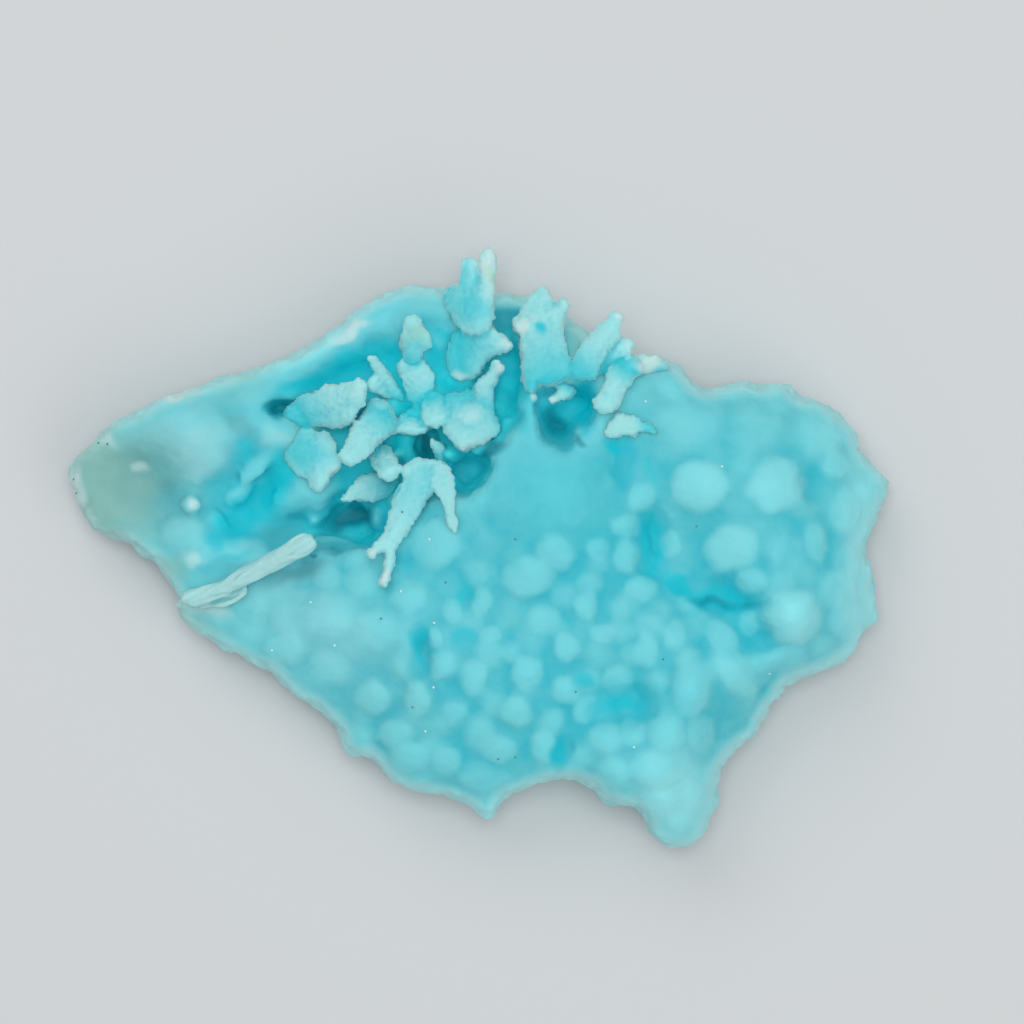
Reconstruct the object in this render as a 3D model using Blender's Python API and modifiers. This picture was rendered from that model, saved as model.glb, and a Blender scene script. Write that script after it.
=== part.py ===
"""Blue aragonite: a botryoidal plate with a hollow full of crystal fingers, lying on its flat-cut back.

X runs along the plate, Y across it and Z out of its front. The tables are in millimetres, seen from the
front, and the finished solid is in metres with the middle of its underside at the origin.
"""

import math
import random

import bmesh
import bpy
import numpy as np
from mathutils import Matrix, Vector

MM = 0.001
NODE = "aragonite"
SEED = 20

BLANK_THICKNESS = 10.0
BLANK_VOXEL = 1.0
RIM_LEVEL = 9.0
FRONT_ROUNDING = 7.5
FRONT_SQUARENESS = 4.0
BACK_ROUNDING = 26.0
BACK_LEVEL = -2.5
JOIN_VOXEL = 0.75
SMOOTHING_ROUNDS = 1
TRIANGLES = 9950
SIDE_TRIANGLES = 1000
BROKEN_GRAIN = 6.0
BROKEN_DEPTH = 3.0
CUT_LEVEL = 0.0

# The rim of the plate, anticlockwise from the tip of the tail.
OUTLINE = (
    (-70.4, 12.0), (-69.3, 7.5), (-67.0, 4.4), (-65.8, 2.4), (-62.5, 1.2), (-60.2, 0.7), (-57.8, -1.5),
    (-55.4, -3.0), (-53.2, -6.3), (-51.3, -9.5), (-51.6, -11.0), (-50.4, -13.2), (-47.6, -15.5),
    (-43.4, -17.8), (-38.8, -20.3), (-35.6, -21.6), (-33.2, -24.3), (-30.6, -26.4), (-27.6, -28.0),
    (-24.0, -31.6), (-23.6, -34.0), (-21.2, -36.2), (-18.6, -36.2), (-16.0, -39.4), (-12.8, -41.6),
    (-9.6, -42.2), (-5.0, -43.2), (-1.4, -45.0), (1.4, -46.8), (4.2, -43.4), (8.2, -41.4),
    (12.8, -40.0), (15.8, -39.9), (19.2, -41.0), (20.6, -42.8), (23.4, -44.1), (26.6, -44.6),
    (28.2, -47.0), (30.0, -50.0), (33.4, -51.6), (37.2, -50.4), (39.2, -46.8), (40.2, -44.0),
    (40.0, -41.4), (41.6, -37.4), (44.2, -34.4), (47.4, -32.4), (48.2, -29.6), (50.6, -26.4),
    (52.2, -23.8), (56.0, -22.2), (60.6, -20.6), (64.2, -18.0), (65.6, -15.2), (68.0, -12.4),
    (67.4, -8.8), (67.2, -4.8), (65.7, -1.6), (66.4, 1.6), (68.2, 6.0), (70.2, 9.4), (67.6, 13.4),
    (65.0, 16.0), (63.8, 19.8), (60.8, 22.6), (57.4, 24.8), (54.6, 25.2), (52.0, 27.4), (48.0, 27.0),
    (44.6, 27.6), (41.0, 26.8), (38.0, 26.4), (35.8, 28.2), (33.6, 30.8), (30.0, 32.2), (25.6, 32.0),
    (21.6, 33.6), (18.2, 36.2), (14.8, 39.0), (12.4, 41.4), (8.0, 42.4), (2.6, 42.8), (-5.4, 43.6),
    (-10.6, 44.2), (-14.4, 43.4), (-18.0, 42.0), (-22.0, 39.2), (-26.0, 36.2), (-29.6, 33.6),
    (-35.0, 31.4), (-39.4, 29.8), (-44.4, 28.2), (-47.2, 27.4), (-50.4, 26.2), (-54.6, 25.0),
    (-58.6, 22.6), (-63.2, 20.6), (-65.8, 17.6), (-69.4, 15.0),
)
OUTLINE_STEPS = 5

# Heights of the front, away from the rim and the hollows: x, y, z.
FRONT_POSTS = (
    (-68, 12, 15), (-61, 17, 17), (-61, 6, 15), (-57, 12, 14), (-50, 18, 22), (-44, 25, 19),
    (-52, 2, 16), (-48, -9, 17), (-34, 30, 20), (-24, 35, 20), (-13, 41, 20), (0, 42, 19),
    (12, 39, 20), (20, 30, 25), (28, 26, 26), (34, 24, 26), (43, 24, 24), (54, 22, 22), (62, 16, 20),
    (37, 10, 29), (50, 9, 28.5), (44, -1, 27), (58, 6, 24), (67, 9, 17), (64, 0, 20), (57, -1, 25),
    (65, -10, 18), (53, -12, 29.5), (60, -17, 20), (30, 1, 25), (37, -7, 24.3), (45, -14, 25.5),
    (24, 14, 27), (14, 9, 32.5), (7, 18, 29), (-2, 8, 27), (12, -6, 29), (26, 2, 26.5),
    (20, -10, 28), (0, -10, 27.5), (-9, -2, 24.5), (-13, -10, 26), (8, -21, 28.5), (-5, -21, 27.5),
    (-17, -21, 24), (20, -22, 27.5), (31, -14, 28), (36, -25, 30), (44, -22, 26), (50, -24, 20),
    (24, -27, 25.5), (24, -34, 28.5), (34, -36, 28.5), (34, -46, 23), (41, -33, 21), (12, -33, 25.5),
    (0, -32, 25.5), (2, -41, 21), (-12, -34, 23), (-20, -31, 20), (-27, -12, 23), (-29, -4, 18.5),
    (-38, -12, 19), (-45, -13, 16.5), (-32, -20, 19.5), (-25, -24, 20.5),
)

# Hollows and clefts: x, y, half length, half width, turn in degrees, floor z, share of it that is floor.
HOLLOWS = (
    (-21, 29, 20, 7, 24, 15, 0.1),
    (-39, 8, 11, 9, 40, 13.5, 0.1),
    (-16, 18, 17, 13, 15, 15, 0.5),
    (-2, 27, 9, 11, 0, 16, 0.5),
    (-27, 3, 13, 5.5, 10, 13, 0.3),
    (-21.5, 4.5, 7, 5, 15, 9.5, 0.3),
    (-2.5, 12.5, 5, 3.6, 45, 14, 0.4),
    (4.6, 29.5, 12.5, 2.5, 84, 16.5, 0.3),
    (4.6, 38.2, 3.2, 3.4, 0, 15.5, 0.2),
    (13.4, 21.2, 5.6, 4.2, 75, 17.5, 0.1),
    (17, 24, 4.2, 2.8, 80, 19, 0.1),
    (11, 24.8, 2.6, 1.8, 40, 21.5, 0),
    (-34.2, 23.8, 3.2, 1.5, 12, 12, 0.3),
    (-9.2, 17, 2.8, 1.9, 80, 9, 0.5),
    (-57, 12.5, 4.8, 2.6, -35, 14.4, 0.2),
    (-7.6, 36.4, 5, 4.5, -50, 18, 0.2),
    (29.4, 0.5, 8, 3.6, 96, 23.2, 0.0),
    (40, -8.2, 10, 3.4, -14, 22.6, 0.0),
    (47, -15.2, 6, 2.6, -45, 24.2, 0.0),
    (24, -27, 7, 3.6, 8, 24.6, 0.0),
    (-10.4, -17.5, 5.4, 2.6, 90, 24.2, 0.0),
    (24.6, 14.6, 7, 2.8, -65, 26, 0.0),
    (56.5, 11, 4.8, 2.6, 85, 23, 0.0),
    (13.6, -35.6, 3.8, 2.2, 90, 23.6, 0.0),
)
WALL_END = 1.2

# Domes of the crust: x, y, half length, half width, turn in degrees, rise as a share of the radius.
DOMES = (
    (37, 10, 5.4, 5.2, 0, 0.19), (50, 10, 5.6, 5.4, 0, 0.19),
    (42.5, -0.5, 5.2, 4.4, 0, 0.17), (52.8, -12, 5.3, 5.2, 0, 0.3), (45.4, -12.8, 2.6, 2.2, 90, 0.2),
    (61.8, 6, 4.6, 3.2, 95, 0.19), (56.6, 0.6, 4.4, 2.5, 95, 0.19), (45.6, -6, 3, 2.6, 0, 0.2),
    (32.2, 0, 2.8, 2.3, 90, 0.26), (27.2, 8, 3, 2.5, 90, 0.26), (25, 3.2, 3, 2.8, 0, 0.26),
    (24.8, -1.8, 3.2, 2.6, 90, 0.26), (20, -0.6, 2.3, 2.2, 0, 0.23), (60.5, 13.6, 3, 2.8, 0, 0.23),
    (66, 9.2, 3.2, 2.6, 0, 0.19), (61, -7.6, 4.6, 4.2, 0, 0.19), (62, -13, 4, 3.6, 0, 0.19),
    (36, 20.5, 7, 5.4, 0, 0.11), (57.5, 19, 6, 5, -35, 0.11), (46.5, 19.5, 6, 5, 0, 0.1),
    (8.5, -5.2, 5.2, 3.8, 10, 0.26), (13, -1.4, 3.8, 3.2, 0, 0.2), (-7.4, 0.2, 4.9, 4.8, 0, 0.33),
    (17.9, -10.2, 2.9, 2.2, 90, 0.33), (14.5, -17, 2.9, 2.6, 60, 0.3), (7.9, -21.2, 3.7, 3.1, 95, 0.33),
    (-6, -20, 3.3, 2.9, 20, 0.33), (-1, -22.4, 3.6, 2.7, 90, 0.26), (-4.5, -11, 2.8, 2, 90, 0.3),
    (0.2, -9.4, 3.2, 2, 90, 0.26), (1.6, -15.2, 2.4, 1.8, 20, 0.26), (-7.8, -15.4, 2, 1.6, 90, 0.26),
    (-12, -8.6, 4, 3.2, 20, 0.26), (-18.3, -25.8, 3.6, 3.3, 0, 0.3), (-10.6, -26, 3.3, 2.6, 95, 0.3),
    (6.2, -27.8, 3.2, 3, 0, 0.3), (10.9, -34, 3.6, 2.5, 100, 0.3), (14.6, -24.4, 3.3, 2.8, -35, 0.33),
    (17.8, -27.6, 2.8, 2.3, 60, 0.33), (28, -17.4, 3.6, 2.2, 90, 0.26), (20.6, -15, 2.3, 2, 0, 0.23),
    (32.7, -15, 2.9, 2.2, 80, 0.26), (35.6, -24.6, 5.4, 3.9, 95, 0.3), (31.8, -31.4, 4, 3.7, 0, 0.3),
    (21.2, -32.4, 3.5, 3.2, 0, 0.3), (25.8, -31.6, 3, 2.8, 0, 0.26), (22.2, -38.4, 3.5, 3.3, 30, 0.3),
    (37.4, -32, 3.8, 3, 90, 0.23), (43.2, -21.5, 6.2, 3, -58, 0.26), (41, -15.5, 4, 2.4, -55, 0.23),
    (-14.4, -32, 3.3, 2.9, 0, 0.3), (-12, -36, 3.8, 3.3, 0, 0.3), (-5.6, -36.4, 3, 2.6, 0, 0.26),
    (-50.4, 1.8, 4.4, 3.6, -20, 0.2), (-40.6, -1.2, 5.6, 2.8, -8, 0.2),
    (-25, -11.4, 5.8, 5.2, 0, 0.14), (-33.2, -17.6, 4, 3.4, 20, 0.17), (-26.2, -5.8, 3.2, 2.6, 0, 0.26),
    (-17.8, -14.2, 4.6, 4.2, 0, 0.17), (-20.2, -6, 3.6, 3, 0, 0.2), (3.4, -34.6, 3.6, 3, 0, 0.23),
    (27.6, -7.4, 3.6, 2.6, 0, 0.23), (10.6, -12.6, 3.4, 3, 0, 0.23), (29, -38, 4.4, 3.6, 0, 0.23),
    (31, -43.6, 3.2, 2.8, 0, 0.25), (36.4, -42.8, 3, 2.8, 0, 0.25), (34.4, -47.4, 3, 2.2, 0, 0.2),
    (-25.6, -20.6, 4.4, 3.6, -30, 0.14), (52, -19.4, 4.6, 3, 10, 0.2),
    (23.4, -22.6, 3.4, 2.8, 20, 0.23), (39.6, -38.6, 2.6, 3.4, 0, 0.2),
)
SUNK_SHARE = 0.5
# The domes stand out this much more than they grew, because coarse facets flatten them.
DOME_LIFT = 2.3
# Power of a dome's profile: less makes its sides steeper.
DOME_ROUNDNESS = 0.6
COARSE, FINE = 2, 3
BATCH = 25
ANY_TURN = (0, 180)
SMALL_DOME_SPACING = 4.6
SMALL_DOME_SHAKE = 1.5
SMALL_DOME_RADIUS = (2.2, 3.2)
SMALL_DOME_RISE = (0.4, 0.64)
SMALL_DOME_MARGIN = 2.2
SMALL_DOME_STRETCH = (1, 1.3)
CALM_RISE = 0.4
# The crust counts as level where no hollow takes more than this from it.
LEVEL_CRUST = 1.0
# Smoother stretches of the crust, and those with no small domes: x, y, half length, half width, turn.
CALM = ((-62, 10, 12, 12, 0), (-30, -13, 20, 10, -30), (46, 8, 22, 18, 0))
BARE = (
    (12, 10, 12.5, 11.5, 0), (-51, 16, 12, 11, 20), (-32, 33, 30, 8, 26), (11, 31, 12, 14, 0),
    (25, 24, 8, 8, 0), (-41, -6, 12, 4, 20),
)
BACK_LUMPS = 18
BACK_LUMP_MARGIN = 3.0
BACK_LUMP_RADIUS = (4.5, 7.5)
BACK_LUMP_SHAPE = (1.2, 1.0, 0.8)
BACK_TRIES = 162
DRUSE_SPACING = 4.6
DRUSE_SHAKE = 1.5
DRUSE_RADIUS = (1.3, 2.3)
DRUSE_STRETCH = 1.2
DRUSE_HEIGHT = (0.5, 1.0)
DRUSE_DEPTH = 5.5

# Limbs in the hollows and along the top: the outline, the foot and the tip as x, y, z, and the thickness.
LIMBS = {
    "white_finger": (
        ((0.2, 43), (0, 46.5), (0.1, 48.3), (0.5, 49.8), (1.4, 50.5), (2.3, 50.1), (2.9, 49), (2.9, 47.5),
         (2.6, 45.5), (2.5, 43), (2.3, 39), (1.8, 37), (1.1, 38), (0.6, 41)),
        (1.6, 38, 22), (1.4, 50, 22.5), 3.2,
    ),
    "twin_finger": (
        ((-3.6, 43), (-3.4, 46.5), (-3.2, 48.2), (-2.6, 48.8), (-1.6, 49), (-0.8, 48.7), (-0.3, 47.6),
         (-0.2, 45.4), (0, 42), (-2, 40)),
        (-1.8, 41, 20), (-1.8, 49, 21.4), 3.2,
    ),
    "blade": (
        ((-5.4, 43.7), (-3.4, 44.4), (-1, 44.8), (1.4, 44.6), (2.4, 43), (2.3, 40), (1.9, 37.6), (1, 36),
         (-1, 35.6), (-2.6, 36.2), (-4, 37.6), (-5.3, 39.2), (-6, 41), (-5.9, 42.6)),
        (-6.6, 41, 18.6), (0.4, 38.6, 22), 4.6,
    ),
    "right_finger": (
        ((-4.8, 36.4), (-2.8, 38.2), (0, 38.4), (1.8, 37.4), (3, 35.9), (5.1, 34.8), (5.6, 34),
         (5.2, 33.1), (4, 32.8), (2.6, 32.3), (1.2, 31.4), (0.2, 30), (-0.8, 28.8), (-2.2, 28.2),
         (-3.6, 27.8), (-4.6, 28.8), (-5.3, 30.2), (-5.6, 31.8), (-5.4, 33.8)),
        (-3.4, 33.4, 17), (5, 34, 22), 4.2,
    ),
    "torn_sheet": (
        ((2.5, 31.6), (3.3, 31.2), (3.5, 30.5), (4.4, 30.2), (3.6, 29.2), (2.8, 28), (2.1, 26.6),
         (2.3, 25.2), (2.6, 23), (2.9, 21.4), (3.7, 20.2), (3.6, 19), (2.8, 18.4), (1.6, 18.8), (0.4, 20),
         (-0.5, 22), (-0.6, 24), (-1, 26), (-0.6, 27.4), (0.6, 28.6), (1.6, 29.8), (2.1, 30.8)),
        (0.8, 22, 18), (3.2, 31, 23), 2.6,
    ),
    "hanging_mass": (
        ((-5.6, 25.6), (-4, 26), (-2, 26.4), (0.5, 26), (2, 25.2), (2.5, 23), (2.8, 21.5), (3.6, 20),
         (3.4, 18.8), (2.2, 17.9), (1.5, 17.7), (1, 16.9), (0, 16.8), (-1.6, 16.4), (-3.2, 16),
         (-3.9, 16.4), (-4.6, 17.4), (-5.4, 18.4), (-6, 19.6), (-6.2, 21.5), (-6, 23.6)),
        (-3.2, 26, 17), (-0.6, 17.4, 20.8), 4.6,
    ),
    "pale_club": (
        ((-11.9, 38.9), (-11, 39.1), (-10.2, 38.5), (-9.3, 37), (-8.5, 35.6), (-8.3, 34.6), (-8.9, 33.6),
         (-9.7, 33), (-9.9, 32), (-10.4, 31), (-11.6, 30.7), (-12.7, 31.4), (-13.3, 33), (-13.5, 35),
         (-13.1, 36.8), (-12.6, 38.2)),
        (-12.8, 31.4, 18.5), (-10.4, 37.4, 21.6), 4,
    ),
    "club_lobe": (
        ((-13.8, 31.4), (-12, 32), (-10, 31.4), (-8.4, 30), (-7.8, 28.4), (-7.9, 26.4), (-8.8, 24.6),
         (-10.7, 22.9), (-12, 23.8), (-12.5, 26), (-13.3, 28), (-14, 29.8)),
        (-10.6, 24, 15), (-11, 31, 17.6), 3.6,
    ),
    "soft_knob": (
        ((-3.8, 22), (-3, 23.7), (-1.2, 24.5), (0.6, 23.8), (1.4, 22), (0.6, 20.3), (-1.2, 19.5),
         (-3, 20.2)),
        (-1.2, 24.6, 19), (-1.2, 20, 20.4), 4.2,
    ),
    "thin_finger": (
        ((-19.1, 32.1), (-18.2, 32.2), (-17.2, 31.3), (-16.2, 30.2), (-15.2, 28.8), (-14.3, 27.4),
         (-13.3, 26.2), (-12.8, 25), (-13.4, 24), (-14.6, 24.8), (-15.9, 26.6), (-17.1, 28.4),
         (-18.3, 30), (-19, 31.2)),
        (-13.6, 25, 15), (-18.7, 31.8, 21), 2.6,
    ),
    "side_finger": (
        ((-18.9, 28), (-18, 28.8), (-16.6, 29), (-15.2, 28), (-13.6, 26.4), (-13, 25), (-13.8, 24.2),
         (-15.4, 24.8), (-17, 25.4), (-18.4, 26.2), (-19.1, 27)),
        (-14, 25, 14), (-18.4, 27.4, 18.4), 3,
    ),
    "paddle": (
        ((-33.3, 22.2), (-32.6, 23.6), (-31.6, 24.4), (-31, 25.4), (-30, 25.7), (-28.6, 25.8),
         (-27.2, 26.5), (-25.8, 27.1), (-24, 27.1), (-22.8, 27.5), (-21.6, 27.7), (-20.6, 28.3),
         (-19.7, 27.8), (-19.1, 26.8), (-19.3, 25.4), (-19.6, 24.2), (-20.6, 23), (-21.4, 21.4),
         (-22.6, 20.4), (-24.6, 20), (-27, 20.3), (-29.6, 20.2), (-31.6, 20.4), (-32.8, 21)),
        (-30, 21.4, 16), (-20.4, 27, 23.5), 4.6,
    ),
    "big_finger": (
        ((-18.9, 24.2), (-18.2, 24.7), (-16.8, 24.7), (-15.8, 24), (-14.8, 22.6), (-14.3, 21),
         (-14.7, 19.6), (-16, 18.4), (-17.4, 17), (-18.7, 15.4), (-20, 14.3), (-21.4, 13.5),
         (-22.6, 13.5), (-23.4, 14.2), (-23.7, 15.4), (-22.9, 17), (-22.2, 18.8), (-21.4, 20.4),
         (-20.2, 22), (-19.4, 23.2)),
        (-16.6, 22.6, 19.5), (-22.4, 14.6, 25), 4.8,
    ),
    "lower_finger": (
        ((-18.6, 16.6), (-17, 17.1), (-15.6, 16.4), (-14.4, 15.4), (-13.7, 14), (-13.6, 12.6),
         (-14.4, 11.4), (-15.8, 11.1), (-17.2, 11.8), (-18, 13), (-18.6, 14.4), (-19, 15.6)),
        (-17.6, 16.4, 16), (-15.6, 12.4, 22), 4.2,
    ),
    "wedge": (
        ((-24.1, 7.6), (-22.6, 7.5), (-20.6, 7.6), (-18.6, 7.4), (-16.6, 7.8), (-14.6, 8.4), (-13.6, 9.8),
         (-14, 11.2), (-15.6, 11.8), (-17.6, 12.3), (-19.6, 11.8), (-21, 11), (-22, 9.8), (-22.9, 8.6)),
        (-15.4, 9.8, 15.5), (-23.4, 8, 19.5), 3,
    ),
    "antler": (
        ((-13.4, 12.6), (-12.6, 13.6), (-11.4, 14.5), (-9.8, 14.7), (-8.2, 14.3), (-7.4, 14.1),
         (-6.4, 14), (-5.6, 13.5), (-5.2, 12.4), (-6, 11), (-7.2, 9.6), (-8.4, 8.6), (-9.2, 7.4),
         (-9.9, 6), (-10.8, 4.4), (-11.6, 3), (-12.8, 1.4), (-13.7, 0.2), (-14.1, -1), (-14.4, -2.6),
         (-14.9, -4.6), (-15.4, -6.2), (-16, -7.3), (-16.9, -6.6), (-16.8, -5.6), (-16.2, -4.2),
         (-15.9, -2.8), (-15.8, -1.4), (-16.6, -1), (-17.3, -1.6), (-17.8, -2.5), (-18.5, -2.1),
         (-19.1, -2.1), (-18.9, -1), (-18.2, -0.1), (-17.4, 0.8), (-16.6, 1.8), (-15.9, 3), (-15.4, 4.6),
         (-15.1, 6.2), (-14.6, 8), (-13.9, 9.6), (-12.8, 10.8), (-13, 11.6)),
        (-9.4, 12.4, 22), (-15.8, -6, 26.8), 4.2,
    ),
    "antler_branch": (
        ((-7.6, 13.6), (-6, 14), (-5, 13.2), (-4.4, 11.4), (-4.2, 9), (-3.9, 6.4), (-3.6, 4.2),
         (-3.7, 2.2), (-4.4, 1.6), (-5.1, 2.6), (-5.7, 4.6), (-6.3, 6.6), (-7, 8.2), (-7.8, 9.4),
         (-8.4, 11), (-8.4, 12.6)),
        (-6.4, 13, 23), (-4.4, 2.4, 27), 2.4,
    ),
    "thin_blade": (
        ((-8.5, 18.6), (-7.6, 18.2), (-6.6, 17.4), (-5.6, 16.4), (-4.6, 16), (-3.9, 15), (-4.8, 14.4),
         (-6, 14.3), (-7.1, 14.6), (-7.8, 15.8), (-8.4, 17)),
        (-5, 15.4, 17), (-8, 18, 19), 2.4,
    ),
    "bowl_edge": (
        ((-34.6, 20.4), (-32.4, 21), (-30, 20.4), (-28, 19.4), (-26.4, 19.2), (-25, 18.2), (-24.2, 17),
         (-24.4, 15.6), (-23.6, 14.4), (-24.2, 12.8), (-25.4, 12), (-25.8, 10.4), (-27.2, 9.2),
         (-28.8, 9.8), (-29.6, 11.4), (-31.2, 12), (-32.6, 13.8), (-34.4, 15), (-35.2, 17), (-36.2, 18.8)),
        (-34.6, 18.6, 14.6), (-25.4, 12.4, 18.6), 5,
    ),
    "oval_finger": (
        ((-10, 22.4), (-9.8, 24.2), (-9, 25.6), (-7.8, 26.2), (-6.6, 25.6), (-5.8, 24.2), (-5.7, 22.4),
         (-6.2, 20.8), (-7.4, 19.8), (-8.8, 20), (-9.7, 21)),
        (-8.8, 25, 16), (-7.6, 21.4, 19), 3.6,
    ),
    "middle_mass": (
        ((-15.4, 19), (-14, 21), (-12.6, 22.8), (-10.6, 23.4), (-9, 22), (-8.4, 20.4), (-9.2, 19),
         (-11, 18.6), (-13, 18.8)),
        (-11.6, 22, 15), (-12, 20, 17.4), 3.4,
    ),
    "spray": (
        ((7.5, 40.4), (8.1, 41.9), (9, 43.1), (10.3, 43.2), (10.9, 44), (11.5, 43.2), (12.3, 42),
         (12.5, 41.3), (13.5, 41.3), (14.2, 41.9), (15, 41.4), (15.4, 40.5), (14.6, 39.6), (14.2, 38.6),
         (14, 36.6), (14.3, 34.6), (15, 32.6), (16.4, 30.4), (15.4, 28.4), (13.4, 27.4), (11.4, 26.8),
         (9.8, 26.8), (9.2, 25), (8.4, 25.2), (7.6, 27.4), (7.1, 29.6), (7.2, 31.8), (6.8, 33.8),
         (7, 35.4), (6.1, 36), (5.5, 36.9), (5.6, 38), (6.6, 38.8), (7.2, 39.6)),
        (11.6, 28, 25.4), (10, 43, 21.5), 5,
    ),
    "right_blade": (
        ((16, 31.4), (16.8, 33), (17.8, 34.6), (18.6, 35.4), (19.6, 36.4), (20.8, 37.6), (21.8, 38.7),
         (22.8, 39.4), (23.7, 39.3), (24.3, 38.4), (24, 37.2), (23.7, 36), (23.7, 35.1), (22.8, 34.4),
         (22, 33.2), (21, 31.8), (20.3, 30.2), (20, 28.6), (18.6, 27.8), (16.4, 28), (15, 29.6)),
        (17.6, 29, 26), (23.4, 38.6, 28), 3.8,
    ),
    "second_blade": (
        ((20.4, 31.2), (21.4, 32.8), (22.6, 34), (23.4, 34.5), (24.2, 34.9), (25, 34.6), (25.8, 34.5),
         (26, 33.8), (25.7, 33), (25.6, 32.2), (24.6, 31.6), (23, 31), (21.6, 30), (20.8, 28.4),
         (20.2, 28.8)),
        (21, 30.4, 25), (25.4, 33.8, 26.6), 2.8,
    ),
    "round_club": (
        ((25.5, 32), (24.4, 31.6), (23, 30.8), (21.8, 29.6), (21.2, 28), (20.6, 26.6), (19.8, 25.4),
         (19.1, 24), (19.1, 23), (20, 22.3), (21.4, 22.2), (22.6, 22.6), (23.6, 23.8), (24.4, 25.2),
         (25, 26.6), (25.8, 27.6), (26.6, 28.6), (27.6, 29.4), (27, 31)),
        (24.6, 29.8, 26), (21, 24, 28.6), 4.4,
    ),
    "white_ridge": (
        ((25.6, 32.1), (27.4, 32.1), (29, 32), (30, 32.3), (30.8, 31.6), (31.9, 30.4), (31.8, 29.4),
         (30.6, 28.8), (28.8, 28.6), (27.2, 28.8), (26, 29.8), (25.4, 31)),
        (30, 29.4, 23), (27.6, 31, 24.4), 3,
    ),
    "pink_ridge": (
        ((20.4, 18.8), (21.4, 20.2), (22.6, 21.8), (23.8, 22.4), (24.8, 21.7), (26.2, 21.9), (27.4, 20.8),
         (29, 20.4), (30.6, 19), (29.2, 18.4), (27.6, 19.2), (26, 18.2), (24.4, 18.9), (22.6, 18)),
        (28, 20.4, 27), (23, 19.2, 27), 2.2,
    ),
    "hollow_lip": (
        ((11.1, 24.9), (11.6, 25.3), (12.6, 25.6), (13.2, 26.4), (12.8, 27.8), (14.4, 28.2), (15.6, 27.2),
         (16.2, 26.2), (15.6, 25.2), (14.6, 24.8), (13.6, 24.6), (12.8, 24.1), (11.8, 24)),
        (14.4, 27.6, 23.6), (11.6, 24.6, 24), 2.2,
    ),
    "white_rod": (
        ((-50.3, -8), (-47, -7.2), (-44, -6.2), (-41.4, -4.6), (-38.6, -3), (-36.4, -1.7), (-34.6, -0.6),
         (-32.8, 0.6), (-31, 1.6), (-29.8, 2), (-28.7, 1.8), (-28, 1), (-27.7, 0), (-28.2, -0.9),
         (-29.2, -1.7), (-30.8, -2.5), (-33, -3.5), (-35.4, -4.7), (-37.4, -5.7), (-39.4, -6.8),
         (-41.4, -7.8), (-43.6, -8.8), (-46, -9.8), (-47.6, -10.2), (-49.4, -10.4), (-50.8, -9.4)),
        (-48, -8.8, 17.5), (-29, 0.4, 24.4), 3.4,
    ),
    "short_rod": (
        ((-49, -8.6), (-46, -8), (-43.6, -7.3), (-41.6, -6.8), (-39.9, -7), (-39.4, -8.1), (-40.8, -9.4),
         (-42.8, -10.3), (-45.2, -10.7), (-47.8, -10.8)),
        (-47.4, -9.4, 16.4), (-40.4, -8, 18.2), 2.6,
    ),
}
STANDING = ("white_rod", "short_rod", "antler", "antler_branch", "white_finger", "twin_finger")
LIMB_STEPS = 3
LIMB_BLANK_VOXEL = 0.7
ROUND_SHARE = 0.9
EDGE = 0.45
FOOT_REACH = 0.75
FOOT_LEVEL = 8.0
# Knobs that stand up from the floor: x, y, z of the top, half length, half width, turn in degrees.
KNOBS = (
    (-37.4, 14.4, 17.6, 5.4, 2, 52), (-41.2, 9, 16, 3.4, 1.8, 45), (-33.6, 8.4, 15.6, 2.6, 1.8, 30),
    (-45.4, 4, 16.4, 2.4, 1.8, -20), (-17.6, 4.6, 18, 2.1, 1.5, 90),
    (-49.2, 6.9, 19, 1.8, 1.7, 0), (-49, -2.6, 17.6, 2.3, 1.1, -20), (-28, 6.5, 15, 1.1, 0.9, 0),
    (-28.4, 4.2, 14.6, 1.3, 1, 0), (-14.2, 15.5, 17.5, 1.5, 0.9, 10), (-5.2, 15.3, 19.4, 1.5, 1.3, 0),
    (-25.4, 0, 14.6, 4.4, 2, 0), (8.9, 25, 27.5, 0.9, 0.9, 0),
)

PALE_BLUE = (0.27, 0.66, 0.70, 1.0)


def clear_scene():
    for obj in list(bpy.data.objects):
        bpy.data.objects.remove(obj, do_unlink=True)


def collection_named(name, helper=False):
    found = bpy.data.collections.new(name)
    bpy.context.scene.collection.children.link(found)
    found.hide_render = helper
    return found


def smooth_loop(points, steps):
    """A closed Catmull-Rom curve through the points, with some steps from each point to the next."""
    here = np.array(points, float)
    back, ahead, beyond = np.roll(here, 1, 0), np.roll(here, -1, 0), np.roll(here, -2, 0)
    square, cube = 2 * back - 5 * here + 4 * ahead - beyond, 3 * here - back - 3 * ahead + beyond
    stages = []
    for t in np.arange(steps) / steps:
        stages.append(here + ((ahead - back) * t + square * t**2 + cube * t**3) / 2)
    return np.stack(stages, 1).reshape(-1, 2)


def thin_plate(posts):
    """The smoothest sheet through the posts, as a function of x and y."""
    posts = np.array(posts, float)

    def bend(apart):
        return apart**2 * np.log(apart + 1e-9)

    def flat(at):
        return np.column_stack((np.ones(len(at)), at))

    apart = np.linalg.norm(posts[:, None, :2] - posts[None, :, :2], axis=2)
    tilt = flat(posts[:, :2])
    system = np.block([[bend(apart), tilt], [tilt.T, np.zeros((3, 3))]])
    weights = np.linalg.solve(system, np.append(posts[:, 2], np.zeros(3)))

    def level(at):
        reach = np.linalg.norm(at[:, None] - posts[None, :, :2], axis=2)
        return np.hstack((bend(reach), flat(at))) @ weights

    return level


RIM = smooth_loop(OUTLINE, OUTLINE_STEPS)
front_sheet = thin_plate(FRONT_POSTS)


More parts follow.
